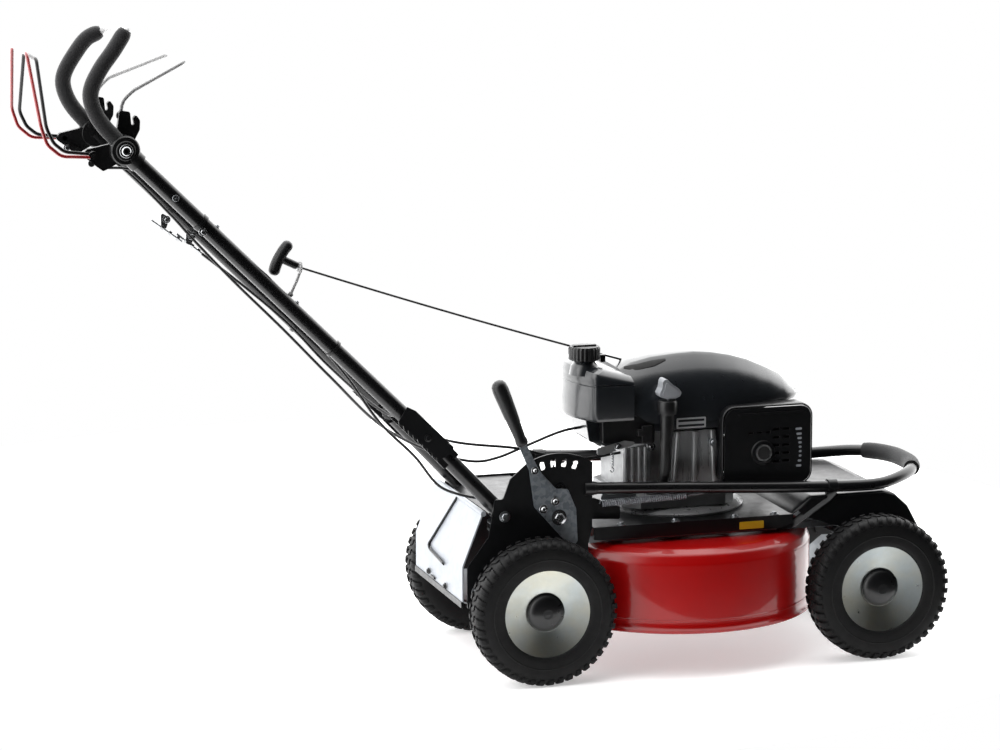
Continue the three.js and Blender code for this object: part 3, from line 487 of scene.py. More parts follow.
def coil(a, b, r, wire, turns, n=10):
    """A helical spring with straight ends drawn to the axis."""
    a, b = Vector(a), Vector(b)
    axis = (b - a).normalized()
    side = axis.orthogonal().normalized()
    up = axis.cross(side)
    steps = turns * n
    pts = [tuple(a - axis * 4)]
    for i in range(steps + 1):
        t = 2 * pi * i / n
        pts.append(tuple(a.lerp(b, i / steps) + (side * cos(t) + up * sin(t)) * r))
    pts.append(tuple(b + axis * 4))
    return sweep(pts, ring(wire, 6))


def hexbolt(x, y, z, direction, r, tall, washer):
    """A hexagon head on a washer, standing on a surface point."""
    d = Vector(direction)
    head = lathe([(0, 1.4), (r, 1.4), (r, tall), (r * 0.86, tall + 1), (0, tall + 1)], (x, y, z), d, 6)
    disc = lathe([(0, -0.5), (washer, -0.5), (washer, 1.4), (washer - 0.6, 1.8), (0, 1.8)], (x, y, z), d, 24)
    return [head, disc]


def socket_bolt(x, y, z, direction, r, tall):
    d = Vector(direction)
    return [lathe([(0, -0.5), (r, -0.5), (r, tall - 1.5), (r - 1.5, tall), (r * 0.45, tall),
                   (r * 0.4, tall - 2.5), (0, tall - 2.5)], (x, y, z), d, 24),
            lathe([(0, -0.5), (r + 3.5, -0.5), (r + 3.5, 1.1), (r + 3, 1.5), (0, 1.5)], (x, y, z), d, 28)]


def fading(count, ends):
    """Growth factors of 1 with the same shrunken ends."""
    grow = [1.0] * count
    for i, k in enumerate(ends):
        grow[i] = grow[-1 - i] = k
    return grow


# ---- Deck and chassis ----

def build_deck():
    outer = [(253, 79.8), (256, 82), (256, 86), (253, 88.5), (250.6, 91), (250, 97),
             *corners([(250, 100), (250, 203), (243, 219), (226, 227.8), (200, 228)], 14, 7), (32, 228),
             (32, 224)]
    inner = [(200, 224), (224, 223.6), (239, 216), (245.6, 202), (246, 96), (246, 80.2)]
    place("deck", lathe(outer + inner, DRUM, UP, 128), RED,
          stands_for=["deck_shell"], angle=50)
    # A rolled seam at the drum's foot.
    seam = lathe([(249.8, 100), (251.2, 101), (251.2, 103.5), (249.8, 104.5)], DRUM, UP, 128)
    place("deck_seam", seam, RED)


def build_plates():
    cad("chassis_plate", BLACK, 0.6)
    hood = corners([(165, 262), (206, 291), (345, 291), (368, 284), (392, 262), (414, 222)], 9, 5)
    bm = bmesh.new()
    across = [(-154, 6), (-152.6, 2.2), (-149, 0.4), (-140, 0), (-70, 0)]
    across += [(0, 0)] + [(-y, drop) for y, drop in across[::-1]]
    grid = [[bm.verts.new(P(x, y, z - drop)) for x, z in hood] for y, drop in across]
    for a, b in zip(grid, grid[1:]):
        for j in range(len(a) - 1):
            bm.faces.new((a[j], a[j + 1], b[j + 1], b[j]))
    mesh = finish_mesh(bm, "hood")
    hood_obj = place("front_hood_cover", mesh, BLACK, None, angle=60)
    thick = hood_obj.modifiers.new("sheet", "SOLIDIFY")
    thick.thickness, thick.offset = 0.0032, -1
    if mesh.polygons[0].normal.z < 0:
        mesh.flip_normals()
    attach(hood_obj, "chassis")
    cheek = rounded([(176, 268), (206, 286), (344, 286), (366, 279), (388, 260), (409, 222), (366, 214),
                     (333, 214), (240, 238), (200, 252)], 5, 3)
    hub = circle(357.5, 164, 8.8, 24)
    hanger = rounded([(318, 226), (389, 226), (376, 144), (339, 144)], 8, 4)
    parts = []
    for s in (-1, 1):
        y = sorted((s * 150, s * 152.8))
        parts += [plate(cheek, *y), plate(hanger, *y, holes=[hub])]
    place("front_hood_cheeks", parts, BLACK, bevel=0.6)
    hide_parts("front_hood")

    lower = [(-436, 128), (-330, 128), (-318, 142), (-248, 142), (-214, 178), (-214, 232)]
    arc = [(PIVOT_X + 113 * cos(a), PIVOT_Z + 113 * sin(a))
           for a in [0.96 + 1.14 * i / 24 for i in range(25)]]
    right = [*lower, (-207, 262), (-207, 376), *arc, (-358, 357), (-371, 322), (-386, 322), (-397, 256),
             (-436, 204)]
    holes = [circle(-269.5, 164, 8.8, 24), circle(PIVOT_X, PIVOT_Z, 6.3)]
    # The scale's plain digits, each an outline about its middle.
    figures = [
        [(-4.4, -7.4), (1.5, -7.6), (4.3, -4.5), (4.4, 5), (1, 7.6), (-2.2, 7.6), (-4.4, 4.2)],
        [(-4.6, -7), (-1.2, -7), (-0.2, -1), (2, -7), (4.6, -7), (4.6, 7), (1.6, 7), (0.4, 0.5), (-2, 7),
         (-4.6, 7)],
        [(-4.5, -7), (3.5, -7.6), (4.6, -1), (2.8, 7), (-3, 7.6), (-4.6, 3.8), (-1.6, 2.6), (0.6, 4.4),
         (1.2, 0.6), (-4.6, -1.2)],
        [(-4, -7.5), (3.4, -7.5), (4.6, -3), (3.6, 0), (4.6, 3.4), (3, 7.5), (-3.2, 7.5), (-4.6, 3),
         (-3.4, 0), (-4.6, -4)]]
    for k, degrees in enumerate((-16.8, -4.9, 7.1, 19.4)):
        a = radians(90 - degrees)
        cx, cz, tilt = PIVOT_X + 96 * cos(a), PIVOT_Z + 96 * sin(a), a - pi / 2
        holes.append([(cx + u * cos(tilt) - v * sin(tilt), cz + u * sin(tilt) + v * cos(tilt))
                      for u, v in figures[k]])
    a = radians(90 + 28.8)
    holes.append(circle(PIVOT_X + 98 * cos(a), PIVOT_Z + 98 * sin(a), 4.5, 16))
    radii = [7] * 7 + [0] * 26 + [8, 5, 5, 7, 8]
    place("right_side_plate", plate(rounded(right, radii, 4), -151.5, -148.5, holes=holes),
          BLACK, bevel=0.5, stands_for=["side_plate_right"])
    left = rounded([*lower, (-207, 262), (-207, 290), (-240, 301), (-376, 301), (-387, 296), (-397, 256),
                    (-436, 204)], 7, 4)
    place("left_side_plate", plate(left, 148.5, 151.5, holes=[holes[0]]), BLACK, bevel=0.5,
          stands_for=["side_plate_left"])
    cad("rear_cover", BLACK, 0.5)
    bolts = []
    for x, z in ((-153, 256), (135, 256), (-52, 256), (60, 256)):
        for s in (-1, 1):
            bolts += hexbolt(x, s * 152, 262, UP, 5, 4, 8)
    for x, y, z, r in ((-226, 151.4, 214, 6), (-420, 151.4, 160, 6), (378, 152.8, 232, 5),
                       (326, 152.8, 232, 5)):
        bolts += hexbolt(x, -y, z, NEAR, r, 4, r + 3) + hexbolt(x, y, z, FAR, r, 4, r + 3)
    place("chassis_bolts", bolts, ZINC)
    # Plain caution patch, with nothing printed on it.
    place("plain_patch", plate(oblong(66, 112, 240.5, 254, 1.5, 3), -160.5, -160.05),
          YELLOW)
    # A folded strap rises from the plate edge to the hood.
    strap = [(140, -150, 238.5), (164, -151, 238.5), (236, -153, 284), (250, -153, 297)]
    place("hood_strap", sweep(corners(strap, 10, 4), [(-7, -1.8), (7, -1.8), (7, 1.8), (-7, 1.8)]), BLACK,
          bevel=0.5)


def cad(name, material, bevel):
    """Keeps a CAD node's own shape and gives it soft edges and a finish."""
    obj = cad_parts[name]
    if "custom_normal" in obj.data.attributes:
        obj.data.attributes.remove(obj.data.attributes["custom_normal"])
    dress(obj.data, material)
    obj.modifiers.new("weld", "WELD").merge_threshold = 1e-6
    soften(obj, bevel, SHARP)


def build_flap():
    body = sheet([(-444, 132), (-444, 205), (-408, 297)], 3, -146, 146, 12)
    knuckle = rod((-405, -146, 297), (-405, 146, 297), 5, 16)
    place("flap_sheet", [body, knuckle], SILVER, "rear_flap", bevel=0.5, stands_for=["rear_flap"])
    # A dark raised strap runs down from the hinge and turns along the sheet, by a slot and two bolts.
    line = [(-409.5, 0, 297), (-443, 48, 212), (-447, 54, 203), (-447.4, 46, 194), (-447.4, -40, 187)]
    strap = sweep(corners(line, 8, 5), [(-3.4, -1.4), (3.4, -1.4), (3.4, 1.4), (-3.4, 1.4)])
    slot = block(-447.6, -444.6, 18, 42, 145, 149)
    place("flap_strap", [strap, slot], PLASTIC, "rear_flap", bevel=0.4)
    bolts = hexbolt(-446.4, 55, 152, (-1, 0, 0), 4, 3, 6) + hexbolt(-446.4, -49, 148.5, (-1, 0, 0), 4, 3, 6)
    place("flap_bolts", bolts, PLASTIC, "rear_flap")
    place("flap_edge", sheet([(-446, 131), (-446, 142)], 5, -146, 146, 1), PLASTIC, "rear_flap", bevel=0.6)


FRONT_BAR = [(300, -146, 303), (345, -143, 304), (390, -121, 309), (425, -86, 312), (444, -40, 313)]
FRONT_BAR += [(447, 0, 313)] + [(x, -y, z) for x, y, z in FRONT_BAR[::-1]]


def build_guard():
    path = curve([(-200, -146, 330), *FRONT_BAR, (-200, 146, 330)], 132)
    feet = []
    for s in (-1, 1):
        y = sorted((s * 141, s * 148.4))
        feet.append(block(-228, -196, *y, 321, 339))
        feet.append(block(236, 256, *y, 290, 301))
        for x, z in ((-212, 330.5), (246, 305.6)):
            feet.append(lathe([(10.4, -9), (12.4, -9), (12.4, 9), (10.4, 9)], (x, s * 146, z),
                              (1, 0, -0.045), 32))
    place("guard_tube", sweep(path, ring(10.5, 24)), GLOSS, stands_for=["guard_bar"])
    place("guard_feet", feet, BLACK, bevel=0.6)
    sleeve = sweep(path[59:77], ring(15.2, 28), grow=fading(77 - 59, [0.93]))
    grip = place("guard_sleeve", sleeve, FOAM, stands_for=["guard_grip"])
    caps = [lathe([(0, -2), (11.3, -2), (11.6, 3), (10, 5), (0, 5)], (-200, s * 146, 330), (-1, 0, 0.05), 24)
            for s in (-1, 1)]
    place("guard_end_caps", caps, PLASTIC)


# ---- Engine ----

def stack(plans):
    """A shell from (plan, z) levels, each plan with the same count of points."""
    return loft([[(x, y, z) for x, y in plan] for plan, z in plans])


NECK = -195, -68


def build_tank():
    def level(inset, z, tilt=0.0, r=10):
        rear = [(-218 + inset + (y + 23) ** 2 / 329, y) for y in range(98, -111, -8)]
        plan = [(-118, -118 + inset), (-118, 118 - inset), (-152, 118 - inset),
                (-168 + inset * 0.5, 112 - inset), *rear, (-188 + inset, -118 + inset)]
        plan = rounded(plan, [0, 0, 8, 8] + [0] * len(rear) + [r], 5)
        return [(x, max(min(y, 118 - inset), -118 + inset), z + tilt * (-(x + 168) * 0.28)) for x, y in plan]
    rows = [level(8, 439), level(2.5, 441), level(0, 447), level(0, 498), level(0.2, 503),
            level(2.2, 504.4), level(2.2, 506), level(0.2, 507.4, 0.2), level(0.4, 515, 0.7),
            level(4, 522, 0.9), level(16, 529, 1.0), level(26, 532, 1.0)]
    tank = loft(rows)
    neck = lathe([(0, 520), (27, 520), (24, 536), (20, 540), (18, 545), (0, 545)], (*NECK, 0), UP, 48)
    place("tank_shell", [tank, neck], CHARCOAL, stands_for=["fuel_tank"], angle=38)
    knurl, (x, y) = [], NECK
    for r0, r1, z in ((23, 23, 544.6), (27, 28, 547), (27, 28.4, 566), (25, 25.6, 570)):
        radii = [r1 if i % 4 < 2 else r0 for i in range(96)]
        knurl.append([(x + r * cos(a), y + r * sin(a), z) for r, a in zip(radii, angles(len(radii)))])
    cap = loft(knurl)
    bridge = block(-216, -174, -72, -64, 569, 572.5)
    place("tank_cap", [cap, bridge], PLASTIC, "fuel_cap", stands_for=["fuel_cap"], angle=30)
    place("cap_catch", block(-166, -157, -73, -63, 540, 553), PLASTIC, bevel=0.8)


def build_housing():
    # The drum round the flywheel: near and far faces nearly flat, rounded front and rear.
    rows = []
    for inset, z in ((5, 416), (1, 418), (0, 424), (0, 450), (5, 462), (12, 476), (20, 490), (30, 505)):
        rows.append((oblong(-132 + inset, 104 - inset, -112 + inset, 112 - inset, 50, 14), z))
    place("blower_cover", stack(rows), CHARCOAL, stands_for=["blower_housing"], angle=40)


def build_cowl():
    top = [(-128, 524), (-107, 535), (-69, 543), (-22, 547), (12, 548), (45, 545), (80, 538.5), (114, 528.5),
           (148, 513.5), (176, 500.5), (200, 481), (210, 468)]
    low = [(-128, 446), (-107, 436), (-69, 431), (-22, 431), (12, 431), (45, 432), (80, 440), (114, 444),
           (148, 449), (176, 453), (200, 457), (210, 461)]
    half = [(104, 62), (112, 61), (116, 60), (117, 60), (117, 60), (116, 60), (112, 60), (107, 59),
            (100, 57), (90, 54), (77, 50), (64, 45)]
    rows = []
    for (x, zt), (_, zb), (w, flat) in zip(top, low, half):
        tall = zt - zb
        side = [(w * 0.985, zb), (w, zb + tall * 0.10), (w * 0.995, zb + tall * 0.28),
                (w * 0.93, zb + tall * 0.55), (w * 0.78, zb + tall * 0.80), (flat + 5, zt - tall * 0.045),
                (flat + 2, zt - tall * 0.012), (flat - 1, zt)]
        ring_pts = [(x, -y, z) for y, z in side] + [(x, -flat * 0.5, zt + 0.8), (x, 0, zt + 1.2),
                (x, flat * 0.5, zt + 0.8)]
        ring_pts += [(x, y, z) for y, z in side[::-1]] + [(x, w * 0.5, zb), (x, 0, zb), (x, -w * 0.5, zb)]
        rows.append(ring_pts)
    tip = [(213, y * 0.96, 463.5 + (z - 464.5) * 0.35) for _, y, z in rows[-1]]
    place("cowl_cover", loft([*rows, tip]), COWL, stands_for=["engine_cowl"], angle=30)
    # A dark solid in painted shade stands for the starter rope's recess at the back, and a bush round the
    # rope.
    path = corners([(-120, -64, 526), (-100, -72, 526), (-70, -74, 532), (-44, -70, 538)], 16, 6)
    recess = sweep(path, [(-6.5, -2), (0, -3), (6.5, -2), (6.5, 2), (0, 3), (-6.5, 2)],
                   grow=[0.4] + [1.0] * (len(path) - 2) + [0.3])
    place("cowl_recess_shade", recess, BLACK_AND_SHADE)
    guide = lathe([(3, -3), (7, -3), (7.5, 0), (7, 3), (3, 3), (2.4, 0)], (-95, -21, 528.5),
                  (-0.94, -0.13, 0.31), 24)
    place("rope_bushing", guide, PLASTIC)


OUTLET = 119, -134, 372


def build_exhaust():
    holes = []
    for row in range(5):
        z = 352 + row * 14.5
        for x in (144, 163):
            holes.append(oblong(x - 7, x + 7, z, z + 5, 2.2, 3))
    for x in (96, 112, 128):
        holes.append(oblong(x - 5, x + 5, 406, 410, 1.8, 3))
    holes.append(circle(119, 372, 16, 40))
    outline = oblong(46, 210, 314, 453, 20, 8)
    face = plate(outline, -134, -131.5, holes=holes)

    def level(inset, y):
        return [(x, y, z) for x, z in oblong(44 + inset, 212 - inset, 312 + inset, 455 - inset,
                                             22 - inset * 0.5, 8)]
    wall = bmesh.new()
    rows = [level(0, -133), level(-1.2, -130), level(-1.6, -120), level(-1.6, -98)]
    skin(wall, [[wall.verts.new(P(*p)) for p in r] for r in rows])
    # The wall behind the face, with a soft shoulder.
    wall_obj = place("exhaust_wall", finish_mesh(wall, "wall"), BLACK, None, angle=50)
    solid = wall_obj.modifiers.new("sheet", "SOLIDIFY")
    solid.thickness, solid.offset = 0.002, 0
    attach(wall_obj, "chassis")
    place("exhaust_face", face, BLACK, bevel=0.7, stands_for=["muffler_guard"])
    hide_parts("muffler_guard")
    tip = lathe([(12, -7), (14.5, -7), (15, -2), (15, 6), (12, 6)], OUTLET, NEAR, 40)
    # Thin silver slivers of varying width on the black face are painted highlights.
    bright = [plate(oblong(192.5 - w, 192.5, z, z + 4, 1.6, 3), -134.5, -133.9)
              for z, w in ((342, 10), (351, 7), (360, 5), (368, 5), (376, 5), (384, 6), (392, 8),
                           (400, 10), (409, 12))]
    place("exhaust_louvre_highlights", bright, SILVER)
    lip = lathe([(16, -2), (21, -2), (22.5, 0.5), (21, 3), (16.5, 3.5), (15.4, 1.5)], OUTLET, NEAR, 48)
    place("exhaust_rings", lip, BLACK)
    place("exhaust_tip", tip, ALU)
    cad("muffler", BLACK_AND_SHADE, 0.8)
    # A dark disc inside the outlet is painted shade for the bore.
    place("exhaust_bore_shade", lathe([(0, 3), (12, 3), (12, 5), (0, 5)], OUTLET, NEAR, 32), BLACK_AND_SHADE)
    place("exhaust_crease", plate(oblong(72, 196, 441, 444.5, 1.6, 3), -135.6, -133.8), BLACK, bevel=0.5)
    screws = []
    for x, z in ((28, 394), (58, 322)):
        screws += socket_bolt(x, -122, z, NEAR, 4, 3) + [rod((x, -121, z), (x, -100, z), 3.4, 12)]
    place("exhaust_screws", screws, ZINC)


def build_engine_block():
    cad("crankcase", ALU, 1.0)
    cad("cylinder", ALU, 0.5)
    cad("air_cleaner", CHARCOAL, 2.5)
    # Machined near side: a broad bright cover split by upright flutes.
    parts = []
    outline = [(-44, 312), (44, 312), (46, 330), (38, 414), (-38, 414), (-40, 400)]
    parts.append(plate(rounded(outline, 5, 4), -106, -99))
    for x, r in ((-34, 4.5), (0, 6), (34, 4.5)):
        parts.append(rod((x * 0.94 + 1, -105, 412), (x * 1.1, -105, 314), r, 16))
    parts.append(plate(rounded([(-131, 314), (-84, 314), (-84, 392), (-131, 384)], 5, 4), -98, -91))
    for x in (-126, -114, -101, -90):
        parts.append(rod((x, -97, 388), (x, -97, 316), 4.2, 14))
    place("crankcase_cover", parts, MILLED, bevel=0.8)
    place("crankcase_lug", [plate(rounded([(-24, 319), (5, 319), (-10, 303)], 2, 3), -110, -106.5)], CHROME,
          bevel=0.5)
    bolts = []
    for x, y, z in ((56, -93, 398), (56, -93, 330), (-80, -99, 388), (-122, -98, 322)):
        bolts += socket_bolt(x, y, z, NEAR, 4.6, 4)
    for a in range(0, 360, 60):
        bolts += hexbolt(X_ENGINE + 90 * cos(radians(a + 25)), 90 * sin(radians(a + 25)), 276,
                         UP, 4.5, 4, 7)
    place("engine_bolts", bolts, CHROME)
    cad("engine_flange", MILLED, 0.6)
    # A pressed ring under the engine, bright and shallow.
    pan = lathe([(96, 262.4), (127, 262.4), (129, 266), (120, 271), (100, 275), (96, 275)], DRUM, UP, 72)
    place("engine_ring", pan, MILLED, angle=40)
    label = plate(oblong(-39, 16, 421, 440, 1.5, 3), -118.6, -117.6)
    bars = [plate(oblong(-36, 13, z, z + 4, 1, 2), -119.0, -118.5) for z in (424, 433)]
    place("foil_strip", label, FOIL)
    place("foil_strip_bars", bars, CHARCOAL)


def build_drive():
    for name, material in (("mulching_blade", ZINC), ("blade_hub", ALU), ("crankshaft", ZINC),
                           ("flywheel", ALU), ("drive_pulley", ZINC), ("gearbox_pulley", ZINC),
                           ("drive_belt", RUBBER), ("gearbox", ALU)):
        cad(name, material, 0.4)


def build_controls():
    bracket = plate(rounded([(-188, 383), (-176, 383), (-122, 397), (-117, 402.5), (-137, 406),
                             (-188, 395)], 3, 4), -121.5, -119)
    arm = plate(rounded([(-203, 272.5), (-150, 269), (-150, 291), (-203, 312)], 3, 4), -136, -133.5)
    tab = plate(rounded([(-186, 305), (-119, 302), (-119, 314), (-140, 318), (-182, 319)], 3, 4), -134,
                -131.5)
    place("control_bracket", bracket, ALU, bevel=0.5)
    place("spring_bracket", arm, BLACK, bevel=0.5)
    place("spring_tab", tab, ZINC, bevel=0.5)
    # The carburettor and the duct beside it hang under the tank.
    body = loft([[(x, y, z) for x, z in rounded([(-174, 400), (-78, 395), (-76, 446), (-176, 450)], 6, 4)]
                 for y in (-112, -58)])
    duct = loft([[(x, y, z) for x, z in rounded([(-160, 391), (-148, 391), (-148, 448), (-201, 448),
            (-193, 402)], 6, 4)] for y in (-92, -6)])
    place("intake_body", body, PLASTIC, bevel=2)
    place("intake_duct", duct, COWL, bevel=2)
    small = coil((-160, -121, 385), (-160, -121, 362), 2.6, 0.7, 8)
    hook = sweep(curve([(-160, -121, 360), (-157, -121, 356), (-160, -121, 351), (-164, -121, 355)], 16),
                 ring(0.9, 8))
    # The brake spring lies along the plate's near edge.
    long = coil((-186, -141, 300.5), (-28, -141, 305), 5.4, 1.3, 40)
    tail = sweep([(-28, -141, 305), (-2, -141, 306), (6, -138, 306)], ring(1.6, 8))
    place("control_springs", [small, hook], CHROME, angle=60)
    place("brake_spring", [long, tail], SILVER, angle=60)
    place("control_bolts", hexbolt(-150, -122, 396, NEAR, 4.5, 3.5, 6.5), CHROME)
    hanger = [block(-104, -84, -120, -108, 400, 430), block(-112, -98, -121, -110, 412, 424)]
    place("control_lugs", hanger, PLASTIC, bevel=1)


def build_oil():
    path = curve([(-66, -93.5, 312), (-66, -106, 313), (-66, -124, 328), (-64.5, -131, 368),
                  (-63, -133, 420), (-62, -133, 476)], 60)
    grow = [0.85 + 0.5 * (i / 60) ** 1.5 for i in range(61)]
    collar = lathe([(0, 452), (16, 452), (17.5, 458), (17.5, 474), (15, 477), (0, 477)], (-62, -133, 0),
                   UP, 40)
    place("oil_tube", [sweep(path, ring(10, 24), grow=grow), collar], PLASTIC,
          stands_for=["oil_filler_tube"], angle=40)
    rim = [(-81, 491), (-79, 485), (-69, 482), (-52, 481.5), (-43, 485), (-40, 492), (-45, 499),
           (-57, 507), (-66, 516), (-72, 517), (-75, 511), (-76, 501)]
    cap = plate(rounded(rim, 4, 4), -146, -121)
    inner = [(x * 0.72 - 62 * 0.28, z * 0.72 + 494 * 0.28) for x, z in rim]
    face = plate(rounded(inner, 3, 3), -148.2, -146)
    stick = rod((-60, -133, 398), (-60, -133, 482), 3, 12)
    place("oil_cap", [cap, face, stick], PALE, "oil_dipstick", bevel=2.2, stands_for=["oil_dipstick"])


# ---- Axles, height gear ----

def build_height():
    for name in ("rear_axle", "front_axle"):
        cad(name, BLACK, 0.6)
    cad("height_rod", ZINC, 0.4)
    cad("height_link", ZINC, 0.3)
    outer = rounded([(-326, 376), (-310, 374), (-276, 336), (-254, 334), (-239, 298), (-236, 240),
                     (-243, 232), (-256, 238), (-316, 306)], [9, 9, 6, 4, 4, 6, 4, 8, 10], 5)
    shank = rounded([(-346, 420), (-334, 425), (-308, 372), (-322, 364)], 4, 3)
    upper = rounded([(-326, 378), (-308, 374), (-281, 326), (-283, 306), (-300, 296), (-316, 306)],
                    [9, 8, 6, 8, 8, 8], 5)
    place("lever_plate", [plate(outer, -158.6, -155.4)], SPANGLE, "height_lever", bevel=0.5,
          stands_for=["height_lever"])
    place("lever_blade", [plate(upper, -161, -158.4), plate(shank, -161, -156)], SPANGLE, "height_lever",
          bevel=0.5)
    bolts = hexbolt(PIVOT_X, -158.6, PIVOT_Z, NEAR, 9, 6, 14)
    bolts += socket_bolt(-300, -160.8, 302, NEAR, 4.4, 3) + socket_bolt(-278.5, -160.8, 314.5, NEAR, 4.4, 3)
    bolts += socket_bolt(-316, -160.8, 372, NEAR, 3.4, 3)
    bolts += [rod((-247, -158, 298), (-247, -152, 298), 3.5, 14)]
    place("lever_bolts", bolts, CHROME, "height_lever")
    foot, head = Vector((-337, -158, 418)), Vector((-384, -158, 533))
    length = (head - foot).length
    profile = [(0, 0), (8.5, 0), (10.5, 2), (11, 8), (9.8, 14), (10.6, 30), (12.6, 60), (14, 92), (14.4, 108),
               (13.2, 117), (10, 122), (5, length + 0.5), (0, length + 1)]
    place("lever_handgrip", lathe(profile, tuple(foot), head - foot, 40), PLASTIC, "height_lever",
          stands_for=["height_lever_grip"], angle=60)
    nut = [lathe([(5, -4), (9.5, -4), (9.5, 3), (5, 3)], (-266, -151.6, 334), NEAR, 32)]
    place("side_plate_stop", nut + socket_bolt(-264, -151.4, 332, NEAR, 4.2, 5), GLOSS)


# ---- Wheels ----

LUGS, TREAD_R = 44, 128


def build_wheel(end, side):
    s = 1 if side == "left" else -1
    cx = WHEEL_X if end == "front" else -WHEEL_X
    body = f"wheel_{end}_{side}"
    centre, axis = (cx, s * 203, AXLE_Z), (0, s, 0)
    # A round-shouldered carcass, bead to bead.
    half = [(77, 22), (77.4, 26), (80, 28.6), (86, 30), (94, 31.2), (104, 31.8), (112, 31), (118, 28.8),
            (123, 24.5), (126, 18), (127.2, 8), (127.4, 0)]
    profile = half + [(r, -t) for r, t in half[::-1]]
    carcass = lathe(profile, centre, axis, 96)
    ridge = lathe([(96, 31.2), (98, 32.4), (100, 31.4)], centre, axis, 96)
    bm = bmesh.new()
    put = turned(bm, centre, axis)

    def lug(section, at, wide, skew):
        near, far = ([put(r, t, at + k * wide / 2 / TREAD_R + skew * t / TREAD_R) for r, t in section]
                     for k in (-1, 1))
        skin(bm, [near, far])
        bm.faces.new(near[::-1])
        bm.faces.new(far)

    shoulder = [(121, 16), (129.4, 13.5), (129.8, 15), (129, 22), (126.6, 27.6), (121.5, 31), (117, 30.4),
                (117, 24)]
    middle = [(123, -8), (130, -7), (130, 7), (123, 8)]
    half_step = pi / LUGS
    for a in angles(LUGS):
        lug(shoulder, a, 9.5, 0.25)
        lug([(r, -t) for r, t in shoulder[::-1]], a + half_step, 9.5, 0.25)
        lug(middle, a + half_step / 2, 8.5, -0.5)
    place(f"tyre_carcass_{end}_{side}", [carcass, ridge], RUBBER, body, stands_for=[f"tyre_{end}_{side}"],
          angle=50)
    place(f"tyre_lugs_{end}_{side}", finish_mesh(bm, "lugs"), RUBBER, body, bevel=0.7, angle=50, segments=1)
    # Spun dish: bead flange, then a cone in to the hub.
    dish = [(78.4, 22), (78.4, 25.6), (76, 25.2), (34, 12), (10, 12), (10, 9), (33, 9), (74, 21)]
    back = [(79.6, -26), (79.6, -29), (77, -29.5), (74, -22), (40, -16), (12, -30), (12, 8), (16, 8),
            (16, -26), (42, -13), (72, -18), (76, -22), (78, 20), (79.6, 20)]
    place(f"rim_dish_{end}_{side}", lathe(dish, centre, axis, 96), RIM, body,
          stands_for=[f"rim_{end}_{side}"], angle=40)
    place(f"rim_back_{end}_{side}", lathe(back, centre, axis, 64), ZINC, body, angle=40)
    cap = [(0, 11), (33.5, 11), (34.5, 12.5), (34, 16), (31, 20), (24, 24.5), (14, 27.2), (5, 28), (0, 28.1)]
    place(f"hub_cap_{end}_{side}", lathe(cap, centre, axis, 64), GLOSS, body, angle=60)


# ---- Handle ----

FOOT, FOLD, TOP = Vector((-361, 286)), Vector((-504, 438)), Vector((-1026, 957))
BAIL, FRONT, TOOTH = (-1080, 950), (-1026, 1012), 2.2


def toward(a, b, d):
    return a + (b - a).normalized() * d


def tongue(pivot, goal, reach, width, y0, y1, holes=(), teeth=0):
    """An ear round a pivot that runs towards a goal, with teeth along one edge if any."""
    d = (goal - pivot).normalized()
    n = Vector((-d.y, d.x)) * (width / 2)
    back = atan2(-d.y, -d.x)
    outline = [pivot + Vector((cos(back + a), sin(back + a))) * (width / 2)
               for a in [pi * (i / 14 - 0.5) for i in range(15)]]
    end, last = pivot + d * reach, outline[-1]
    first, second = sorted((end - n, end + n), key=lambda p: (last - p).length)
    for k in range(teeth and teeth * 2 + 1):
        step = (first - second).normalized() * (TOOTH if k % 2 else 0)
        outline.append(last.lerp(first, k / (teeth * 2)) + step)
    return plate([tuple(p) for p in [*outline, first, second]], y0, y1, holes=holes)


def toothed_plate(y0, y1):
    """The outer plate over the fold, toothed along its lower edge."""
    d = (TOP - FOLD).normalized()
    n = Vector((d.y, -d.x))
    top = [FOLD + d * t + n * w for t, w in ((-52, 12), (-46, 19), (50, 19), (66, 14))]
    teeth = [FOLD + d * (60 - 6 * k) - n * (15 + 4 * (k % 2)) for k in range(18)]
    return plate([tuple(p) for p in top + teeth], y0, y1)


def mirrored(s, a, b):
    return sorted((s * a, s * b))


